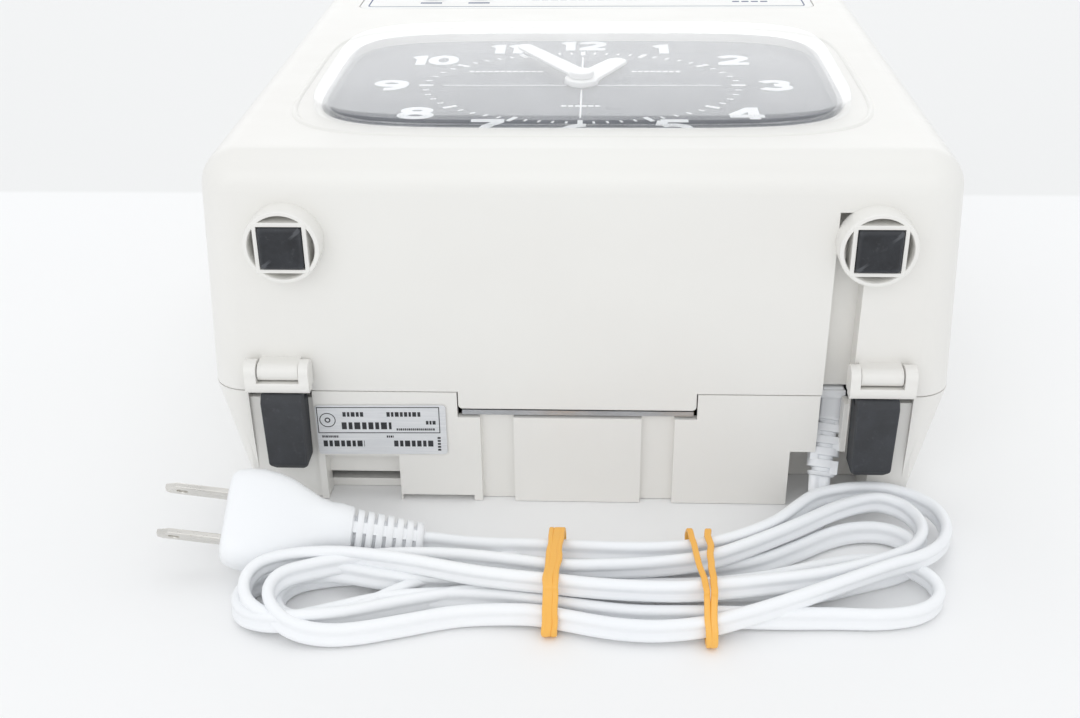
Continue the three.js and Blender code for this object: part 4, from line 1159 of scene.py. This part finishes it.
# ---------------------------------------------------------------- lens and dial
def make_lens():
    """Clear tray: a skirt through the opening, a flange on the face, a wall and a crowned top."""
    top = FACE_Z + LENS_RISE
    steps = [(OPENING, -2.0, FACE_Z - 2.2), (OPENING, -FIT, FACE_Z - 2.2), (OPENING, -FIT, FACE_Z + FIT),
             (LENS, 0.0, FACE_Z + FIT)]
    radius = 1.1
    for i in range(7):
        t = math.pi / 2 * i / 6
        steps.append((LENS, -radius * (1 - math.cos(t)), top - 0.5 - radius * (1 - math.sin(t))))
    for grow, rise in ((-2.4, 0.03), (-4.0, 0.06), (-12.0, 0.2), (-24.0, 0.36), (-38.0, 0.46),
                       (-50.0, 0.5)):
        steps.append((LENS, grow, top - 0.5 + rise))
    inside = [(LENS, -50.0, top - LENS_WALL)]
    for grow, rise in ((-38.0, 0.46), (-24.0, 0.36), (-12.0, 0.2), (-6.0, 0.06)):
        inside.append((LENS, grow, top - LENS_WALL - 0.5 + rise))
    inside += [(LENS, -3.2, top - LENS_WALL - 0.3), (LENS, -2.0, top - LENS_WALL - 0.6),
               (LENS, -1.6, top - LENS_WALL - 1.1), (LENS, -1.6, FACE_Z + 0.8),
               (OPENING, -1.6, FACE_Z + 0.6)]
    outer = lens_section(steps)
    inner = lens_section(inside)
    size = len(outer[0])
    rings = outer + inner
    vertices = [p for ring in rings for p in ring]
    faces = []
    crown = len(outer) - 1
    for r in range(len(rings)):
        if r == crown:
            continue
        here, there = r * size, ((r + 1) % len(rings)) * size
        faces += [(here + i, here + (i + 1) % size, there + (i + 1) % size, there + i) for i in range(size)]
    faces.append(tuple(crown * size + i for i in range(size)))
    faces.append(tuple((crown + 1) * size + i for i in range(size)))
    lens = mesh_object("dial_window", vertices, faces)
    return piece(lens, "dial_window", "front_case", "clear", replaces=("dial_lens",), angle=50)


make_lens()


def bar_mark(cx, cy, length, width, degrees, z, thick=0.06):
    """A printed bar, its length along the direction degrees from the 12 o'clock line."""
    turn = math.radians(degrees)
    points = []
    for a, b in ((-width / 2, -length / 2), (width / 2, -length / 2), (width / 2, length / 2),
                 (-width / 2, length / 2)):
        points.append((cx + a * math.cos(turn) + b * math.sin(turn),
                       DIAL_HEIGHT + cy - a * math.sin(turn) + b * math.cos(turn)))
    return extrude("mark", points, "z", z, z + thick)


def track_point(degrees, half_wide=48.4, half_high=37.3):
    """Where the minute track's ellipse is, in a true clock direction."""
    s, c = math.sin(math.radians(degrees)), math.cos(math.radians(degrees))
    r = 1 / math.hypot(s / half_wide, c / half_high)
    return r * s, r * c


NUMERALS = {12: (0, 47), 1: (26, 43), 2: (49, 29), 3: (59.5, 0), 4: (48, -28.5), 5: (26.5, -40),
            6: (0, -44), 7: (-26.5, -40), 8: (-48, -28.5), 9: (-59.5, 0), 10: (-49, 29), 11: (-26, 43)}


def arc(cx, cy, rx, ry, start, end, steps=14):
    """Points of an arc in a digit's unit box, degrees from the right, counter-clockwise."""
    turns = [math.radians(start + (end - start) * i / steps) for i in range(steps + 1)]
    return [(cx + rx * math.cos(t), cy + ry * math.sin(t)) for t in turns]


# each digit's strokes in a box 1 wide and 1 high; a stroke that ends where it starts is closed
DIGITS = {
    "0": [arc(0.5, 0.5, 0.38, 0.39, 90, 450, 32)],
    "1": [[(0.06, 0.74), (0.34, 0.89)], [(0.36, 0.0), (0.36, 1.0)]],
    "2": [arc(0.5, 0.7, 0.36, 0.19, 165, -20, 14) + [(0.62, 0.42), (0.14, 0.17)],
          [(0.02, 0.11), (0.98, 0.11)]],
    "3": [arc(0.48, 0.7, 0.34, 0.19, 160, -90, 16), arc(0.48, 0.3, 0.38, 0.2, 90, -160, 16)],
    "4": [[(0.7, 0.0), (0.7, 1.0)], [(0.64, 0.93), (0.1, 0.33)], [(0.02, 0.26), (0.98, 0.26)]],
    "5": [[(0.92, 0.89), (0.16, 0.89)], [(0.22, 0.9), (0.16, 0.5)],
          arc(0.48, 0.33, 0.38, 0.22, 140, -155, 20)],
    "6": [arc(0.5, 0.32, 0.37, 0.21, 90, 450, 28), arc(0.62, 0.42, 0.5, 0.46, 85, 185, 14)],
    "7": [[(0.04, 0.89), (0.96, 0.89)], [(0.86, 0.84), (0.5, 0.45), (0.36, 0.0)]],
    "8": [arc(0.5, 0.71, 0.31, 0.19, 90, 450, 26), arc(0.5, 0.3, 0.37, 0.2, 90, 450, 28)],
    "9": [arc(0.5, 0.68, 0.37, 0.21, 90, 450, 28), arc(0.38, 0.58, 0.5, 0.46, 265, 365, 14)],
}
# a 1 takes a share of a digit's width, and the digits of a pair are narrower
DIGIT_SIZE = {"wide": 10.4, "high": 11.2, "one": 0.5, "gap": 1.6, "pair": 0.86}
CROSS_START = 5.0
STROKE = {"across": 3.2, "up": 2.7}


def stroke(points, x0, y0, wide, high, z):
    """A printed stroke: heavier across than up, as wide lettering is."""
    closed = math.dist(points[0], points[-1]) < 1e-6
    if closed:
        points = points[:-1]
    line = [(x0 + u * wide, y0 + v * high) for u, v in points]
    rings = []
    for i, (x, y) in enumerate(line):
        if closed:
            (ax, ay), (bx, by) = line[i - 1], line[(i + 1) % len(line)]
        else:
            (ax, ay), (bx, by) = line[max(i - 1, 0)], line[min(i + 1, len(line) - 1)]
        ahead = Vector((bx - ax, by - ay)).normalized()
        half_x, half_y = -ahead.y * STROKE["across"] / 2, ahead.x * STROKE["up"] / 2
        left, right = (x + half_x, y + half_y), (x - half_x, y - half_y)
        rings.append([(*left, z), (*right, z), (*right, z + 0.05), (*left, z + 0.05)])
    return loft("stroke", rings, loop=closed)


def numeral(text, x, y, z):
    """A heavy, wide printed number."""
    widths = [DIGIT_SIZE["wide"] * (DIGIT_SIZE["one"] if c == "1" else 1.0) for c in text]
    if len(text) > 1:
        widths = [w * DIGIT_SIZE["pair"] for w in widths]
    total = sum(widths) + DIGIT_SIZE["gap"] * (len(text) - 1)
    left = x - total / 2
    strokes = []
    for character, width in zip(text, widths):
        unit = width / (DIGIT_SIZE["one"] if character == "1" else 1.0)
        for points in DIGITS[character]:
            strokes.append(stroke(points, left, DIAL_HEIGHT + y - DIGIT_SIZE["high"] / 2, unit,
                                  DIGIT_SIZE["high"], z + 0.012 * len(strokes)))
        left += width + DIGIT_SIZE["gap"]
    return strokes


def make_dial():
    steps = [(OPENING, 2.2, 101.8), (OPENING, 2.6, 102.1), (OPENING, 2.6, DIAL_TOP_Z - 0.2),
             (OPENING, 2.4, DIAL_TOP_Z)]
    plate = loft("dial_face", lens_section(steps))
    combine(plate, "DIFFERENCE", rod("z", 3, 95, 110, 0, DIAL_HEIGHT, 32))
    piece(plate, "dial_face", "rear_housing", "dial_print", replaces=("dial_plate",))
    z = DIAL_TOP_Z + 0.01
    marks = []
    for minute in range(60):
        degrees = minute * 6
        x, y = track_point(degrees)
        if minute % 5:
            marks.append(bar_mark(x, y, 1.9, 0.75, degrees, z))
        else:
            marks.append(bar_mark(x, y, 4.4, 1.5, degrees, z))
    for degrees, reach in ((0, 33.0), (90, 43.0), (180, 33.0), (270, 43.0)):
        s, c = math.sin(math.radians(degrees)), math.cos(math.radians(degrees))
        middle = (reach + CROSS_START) / 2
        marks.append(bar_mark(middle * s, middle * c, reach - CROSS_START, 0.5, degrees, z))
    for hour, (x, y) in NUMERALS.items():
        marks += numeral(str(hour), x, y, z)
    # plain bars where a maker's words would be printed
    for x, y, length in ((-24.5, 15.5, 24.0), (23.5, 15.5, 16.0), (0.0, -21.5, 13.0), (0.0, 55.2, 14.0)):
        count = round(length / 2.0)
        for i in range(count):
            block = x + (i - (count - 1) / 2) * 2.0
            marks.append(bar_mark(block, y, 1.5, 1.3, 90, z))
    ink = join_meshes("dial_printing", marks)
    ink.data.materials.clear()
    piece(ink, "dial_printing", "rear_housing", "dial_ink")


def make_hand(name, node, body, length, half, root, z0, z1, degrees, hub):
    """Rounded baton with a two-level hub."""
    outline = [(-root, -1.0), (root, -1.0)]
    for i in range(13):
        t = math.pi * i / 12
        outline.append((half * math.cos(t), length - half + half * math.sin(t)))
    turn = math.radians(degrees)
    c, s = math.cos(turn), math.sin(turn)
    turned = [(x * c - y * s, DIAL_HEIGHT + x * s + y * c) for x, y in outline]
    blade = extrude(name, turned, "z", z0, z1, 0.3, 3)
    hub_solids = []
    for profile in hub:
        hub_solids.append(lathe("hub", profile, "z", 0.0, DIAL_HEIGHT, 64))
    combine(blade, "UNION", hub_solids)
    return piece(blade, name, body, "hand_enamel", replaces=(node,), angle=45)


def turned_disc(r, z0, z1, soft=0.35):
    return [(r - soft, z0), (r, z0 + soft), (r, z1 - soft), (r - soft * 0.3, z1 - soft * 0.3),
            (r - soft, z1)]


make_dial()
make_hand("hour_hand_baton", "hour_hand", "hour", length=27.0, half=3.3, root=4.4, z0=104.2, z1=105.3,
          degrees=HOUR_ANGLE, hub=[turned_disc(5.2, 103.75, 105.6), turned_disc(2.4, 99.0, 104.0, 0.2)])
make_hand("minute_hand_baton", "minute_hand", "minute", length=40.7, half=2.6, root=3.4, z0=106.0,
          z1=106.9, degrees=MINUTE_ANGLE,
          hub=[turned_disc(3.7, 105.9, 107.8), turned_disc(1.3, 99.0, 106.2, 0.1)])


# ---------------------------------------------------------------- rear cover
def rear_taper(x, d, z):
    """The rear cover's sides lean in towards its back, and its back edge is rounded."""
    rounding = max(0.0, 3 - z) ** 2 / 3
    half = HALF_WIDTH - REAR_DRAFT * (REAR_TOP_Z - z) - rounding
    length = BODY_LENGTH - 0.12 * (REAR_TOP_Z - z) - rounding
    return x * half / HALF_WIDTH, d * length / BODY_LENGTH, z


def rear_rings(shrink, levels):
    outline = round_rect(-HALF_WIDTH + shrink, HALF_WIDTH - shrink, shrink, BODY_LENGTH - shrink,
                         EDGE_R - shrink, 14)
    return [[rear_taper(x, d, z) for x, d in outline] for z in levels]


SCREW_SPOTS = [(-88, 30), (88, 30), (-88, 200), (88, 200)]
# side views of a hinge hook's three parts, as (height, z)
HOOK_PLATE = [(-7.3, 41.9), (-7.2, 40.4), (-6.6, 39.6), (-3.3, 39.6), (-3.3, 42.0), (-4.6, 42.3),
              (-6.9, 42.6)]
HOOK_ARM = [(1.3, 30), (3.5, 30), (3.5, 36.6), (-0.6, 40.1), (-3.4, 42.0), (-4.4, 41.2), (-3.4, 39.7),
            (-2.7, 39.6), (1.3, 35.8)]
HOOK_EAR = [(-7.1, 40.4), (-1.2, 40.4), (-0.4, 45), (-7.1, 45)]


def make_hook(side):
    """Hinge hook: two ears round the pin, a front plate and a curved arm to the rear cover."""
    plate = extrude("plate", HOOK_PLATE, "x", *mirrored(side, HOOK["x0"], HOOK["x1"]))
    arm = extrude("arm", HOOK_ARM, "x", *mirrored(side, 78.2, 87.5))
    ears = []
    for e0, e1 in ((HOOK["x0"], HOOK["gap0"] - FIT), (HOOK["gap1"] + FIT, HOOK["x1"])):
        ear = rod("x", 3.4, *mirrored(side, e0, e1), HINGE["height"], HINGE["z"], 48)
        combine(ear, "UNION", extrude("cheek", HOOK_EAR, "x", *mirrored(side, e0, e1)))
        bore = rod("x", HINGE["bore"], *mirrored(side, HOOK["gap0"] - 2.6, HOOK["gap1"] + 2.6),
                   HINGE["height"], HINGE["z"], 32)
        combine(ear, "DIFFERENCE", bore)
        ears.append(ear)
    return combine(plate, "UNION", arm, ears)


def make_rear_cover():
    inner = rear_rings(WALL, [WALL, REAR_TOP_Z])
    outer = rear_rings(0.0, [REAR_TOP_Z, 24, 12, 3, 2.4, 1.8, 1.2, 0.7, 0.3, 0.0])
    cover = loft("rear_casing", inner + outer)
    blocks = [
        # thicker wall under the tab and behind the two hinge recesses
        box(-29, 29, 2, 4.8, 1, 28.4), box(-95.6, -74.2, 1.2, 3.8, 1, 34), box(75.2, 95.6, 1.2, 3.8, 1, 34),
        # walls of the left pocket
        box(-75.7, -73.7, 1, 7, 1, 17.1), box(-52, -50, 1, 7, 1, 17.1), box(-75.7, -50, 1, 7, 15.1, 17.1),
        # walls and roof of the cord's pocket
        box(59.4, 61, 1, 18, 1, 19.7), box(59.4, 85.6, 16.4, 18, 1, 19.7), box(84, 85.6, 1, 18, 1, 19.7),
        box(59.4, 85.6, 1, 18, 18.1, 19.7)]
    bosses = [rod("z", 4.2, 1, 28.8, x, d, 32) for x, d in SCREW_SPOTS]
    combine(cover, "UNION", blocks, bosses)
    cuts = [
        # room for the tab, and the two grooves below it
        box(TAB["x0"] - FIT, TAB["x1"] + FIT, -1, 3, 28.4, 40),
        box(-27.9, -18.3, -1, 2.2, -1, 30), box(18.3, 27.7, -1, 2.2, -1, 30),
        # notch at the back edge, and the left pocket
        box(-51.6, -30.4, -1, 6, -1, 1.8), box(-73.7, -52, -1, 7.2, -1, 15.1),
        # hinge recesses, and the windows over them
        box(-94, -75.7, -1, 1.2, -1, 40), box(76.6, 94, -1, 1.2, -1, 40),
        box(-94, -75.7, -1, 4, 33.9, 40), box(76.6, 94, -1, 4, 33.9, 40),
        # the way for the cord, and its pocket
        box(68.2, 76.4, -1, 15, 17, 40), box(61, 84, -1, 16.4, -1, 18.1)]
    for x, d in SCREW_SPOTS:
        cuts += [rod("z", 1.75, -1, 26, x, d, 24), rod("z", 3.9, -1, 2.4, x, d, 40)]
    # keyholes and vent slots in the back
    for x in (-60, 60):
        cuts += [rod("z", 5, -1, 4, x, 184, 40), box(x - 2.5, x + 2.5, 184, 196, -1, 4)]
    for height in (32, 41, 50, 59, 68):
        cuts.append(box(34, 74, height - 1.3, height + 1.3, -1, 4))
    combine(cover, "DIFFERENCE", cuts)
    combine(cover, "UNION", box(-73.9, -51.8, 5.2, 7, 6.5, 15.4), box(75, 76.6, 0.2, 4.8, 18.3, 34),
            make_hook(-1), make_hook(1))
    return piece(cover, "rear_casing", "rear_housing", "ivory", replaces=("rear_cover",), edge=0.22)


make_rear_cover()


def make_rear_foot(node, side):
    """Rubber foot under a hinge hook: flat face, sloped ends and a step at its top end."""
    x0, x1 = mirrored(side, REAR_FOOT["x0"], REAR_FOOT["x1"])
    low, high, reach = REAR_FOOT["z0"], REAR_FOOT["z1"], FOOT["reach"]
    outline = [(x0 + 0.4, low + 1.6), (x0 + 1.8, low), (x1 - 1.8, low), (x1 - 0.4, low + 1.6),
               (x1, high), (x0, high)]
    foot = extrude(node, outline, "y", -20, 10)
    profile = [(-reach, 16.6), (-5.4, low), (0.9, low), (0.9, 35.6), (-3.4, 35.6), (-3.4, high),
               (-6.2, high), (-reach, 36.6)]
    combine(foot, "INTERSECT", extrude("side", profile, "x", x0 - 1, x1 + 1))
    return piece(foot, node + "_block", "rear_housing", "rubber", replaces=(node,), edge=0.55, angle=35)


for foot_node, foot_side in (("rear_foot_left", -1), ("rear_foot_right", 1)):
    make_rear_foot(foot_node, foot_side)


# ---------------------------------------------------------------- rating label
LABEL = {"x": -75.2, "z": 15.9, "wide": 37.6, "high": 16.2, "thick": 0.35, "turn": 0.012}
LABEL_FACE = -FIT - LABEL["thick"]
LABEL_INK = (LABEL_FACE, LABEL_FACE - 0.03)
# (from, to, baseline, height) of rows of plain blocks that stand in for words
LABEL_ROWS = [(7.9, 14.2, 12.6, 1.5), (20.6, 30.6, 12.6, 1.5), (7.4, 21.8, 8.4, 2.3),
              (23.2, 34.4, 8.0, 0.7), (31.8, 34.6, 10.0, 1.2), (1.4, 6.2, 5.6, 0.7),
              (20.2, 22.2, 5.6, 0.7), (1.6, 13.6, 2.6, 2.0), (22.2, 33.8, 2.6, 2.0)]


def label_point(u, v, d):
    """u along the label and v up it, at height d: the label is stuck on slightly turned."""
    return LABEL["x"] + u, d, LABEL["z"] + v + LABEL["turn"] * u


def label_block(u0, u1, v0, v1):
    """A printed block on the label."""
    corners = ((u0, v0), (u1, v0), (u1, v1), (u0, v1))
    return loft("block", [[label_point(u, v, d) for u, v in corners] for d in LABEL_INK])


def make_label():
    outline = round_rect(0, LABEL["wide"], 0, LABEL["high"], 0.9, 5)
    rings = []
    for d, by in ((-FIT, 0.0), (LABEL_FACE + 0.05, 0.0), (LABEL_FACE, 0.08)):
        rings.append([label_point(u, v, d) for u, v in inset(outline, by)])
    plate = loft("rating_plate", rings)
    piece(plate, "rating_plate", "rear_housing", "label_foil", replaces=("rating_label",))
    blocks = []
    for u0, u1, v0, v1 in ((0.4, 35.8, 15.5, 15.75), (0.4, 35.8, 7.1, 7.35), (0.4, 0.65, 7.1, 15.75),
                           (35.55, 35.8, 7.1, 15.75)):
        blocks.append(label_block(u0, u1, v0, v1))
    for u0, u1, v0, height in LABEL_ROWS:
        u = u0
        k = 0
        while u < u1:
            block = height * (0.62, 0.48, 0.75, 0.55)[k % 4]
            blocks.append(label_block(u, min(u + block, u1), v0, v0 + height))
            u += block + height * 0.24
            k += 1
    for v in (1.2, 2.2, 3.2, 4.2, 5.2):
        blocks.append(label_block(34.9, 35.8, v, v + 0.6))
    ring_centre = (LABEL["x"] + 3.4, LABEL["z"] + 11.5)
    face, lifted = LABEL_INK
    for r0, r1 in ((2.1, 2.35), (0.5, 0.85)):
        profile = [(r0, face), (r1, face), (r1, lifted), (r0, lifted)]
        blocks.append(lathe("ring", profile, "y", *ring_centre, 40, loop=True))
    ink = join_meshes("rating_printing", blocks)
    piece(ink, "rating_printing", "rear_housing", "label_ink")


make_label()


# ---------------------------------------------------------------- control panel
def make_panel():
    """Printed panel let into the face, with round keys, a lamp and plain bars for words."""
    top = FACE_Z
    low = FACE_Z - PANEL["depth"] + FIT
    outline = round_rect(-PANEL["half"] + FIT, PANEL["half"] - FIT, PANEL["low"] + FIT, PANEL["high"] - FIT,
                         PANEL["r"] - FIT)
    plate = extrude("function_panel", outline, "z", low, top, 0.25)
    holes = [rod("z", BUTTON["hole"], 90, 120, x, BUTTON["height"]) for x, _ in BUTTONS.values()]
    combine(plate, "DIFFERENCE", holes, rod("z", LAMP["hole"], 90, 120, LAMP["x"], LAMP["height"], 24))
    piece(plate, "function_panel", "front_case", "printed_panel", replaces=("control_panel",))
    ink = top + 0.04
    frame_line = []
    for by, z in ((3.0, top), (3.0, ink), (3.5, ink), (3.5, top)):
        frame_line.append([(x, d, z) for x, d in inset(outline, by)])
    marks = [loft("frame line", frame_line, loop=True)]
    for x, _ in BUTTONS.values():
        marks.append(lathe("key ring", [(6.2, top), (6.6, top), (6.6, ink), (6.2, ink)], "z", x,
                           BUTTON["height"], 48, loop=True))
        marks.append(box(x - 4, x + 4, 174.6, 176.2, top, ink))
    for x0, x1, d0, d1 in ((-20, 28, 190, 193.5), (-20, 12, 184.5, 186), (-20, 20, 180, 181.5),
                           (55, 69, 176, 177.4)):
        x = x0
        while x < x1:
            marks.append(box(x, min(x + 2.6, x1), d0, d1, top, ink))
            x += 3.5
    printing = join_meshes("panel_printing", marks)
    piece(printing, "panel_printing", "front_case", "panel_ink")


def make_key(node, x, body):
    """Round key with a dished top and a retaining flange."""
    top = FACE_Z + 1.6
    r = BUTTON["r"]
    profile = [(r + 1.6, 98), (r + 1.6, 99.4), (r, 99.4), (r, top - 0.5), (r - 0.15, top - 0.15),
               (r - 0.5, top), (r - 1.2, top - 0.12), (r - 2.4, top - 0.3), (0.4, top - 0.42)]
    key = lathe(node + "_cap", profile, "z", x, BUTTON["height"], 56)
    return piece(key, node + "_cap", body, "grey_plastic", replaces=(node,))


def make_lamp():
    r = LAMP["r"]
    profile = [(r + 1, 98), (r + 1, 99.5), (r, 99.5), (r, FACE_Z - 0.3), (r * 0.92, FACE_Z + 0.1),
               (r * 0.7, FACE_Z + 0.4), (r * 0.4, FACE_Z + 0.55), (0.2, FACE_Z + 0.6)]
    lamp = lathe("power_lamp_lens", profile, "z", LAMP["x"], LAMP["height"], 40)
    return piece(lamp, "power_lamp_lens", "front_case", "lamp_green", replaces=("power_lamp",))


make_panel()
for key_node, (key_x, key_body) in BUTTONS.items():
    make_key(key_node, key_x, key_body)
make_lamp()


# ---------------------------------------------------------------- parts kept as they are
RECORD_SLOTS = {part["node"]: part["material_slot"] for part in frame["record"]["subparts"]}
for name, node in NODES.items():
    if not node.hide_render:
        node.data.materials.clear()
        node.data.materials.append(MATERIALS[RECORD_SLOTS.get(name, "ivory")])
        shade(node)

own_bounds = [list(corner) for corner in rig.bounds()]
with open("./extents.json", "w") as size_file:
    json.dump({"cad": cad_bounds, "visual": own_bounds}, size_file)
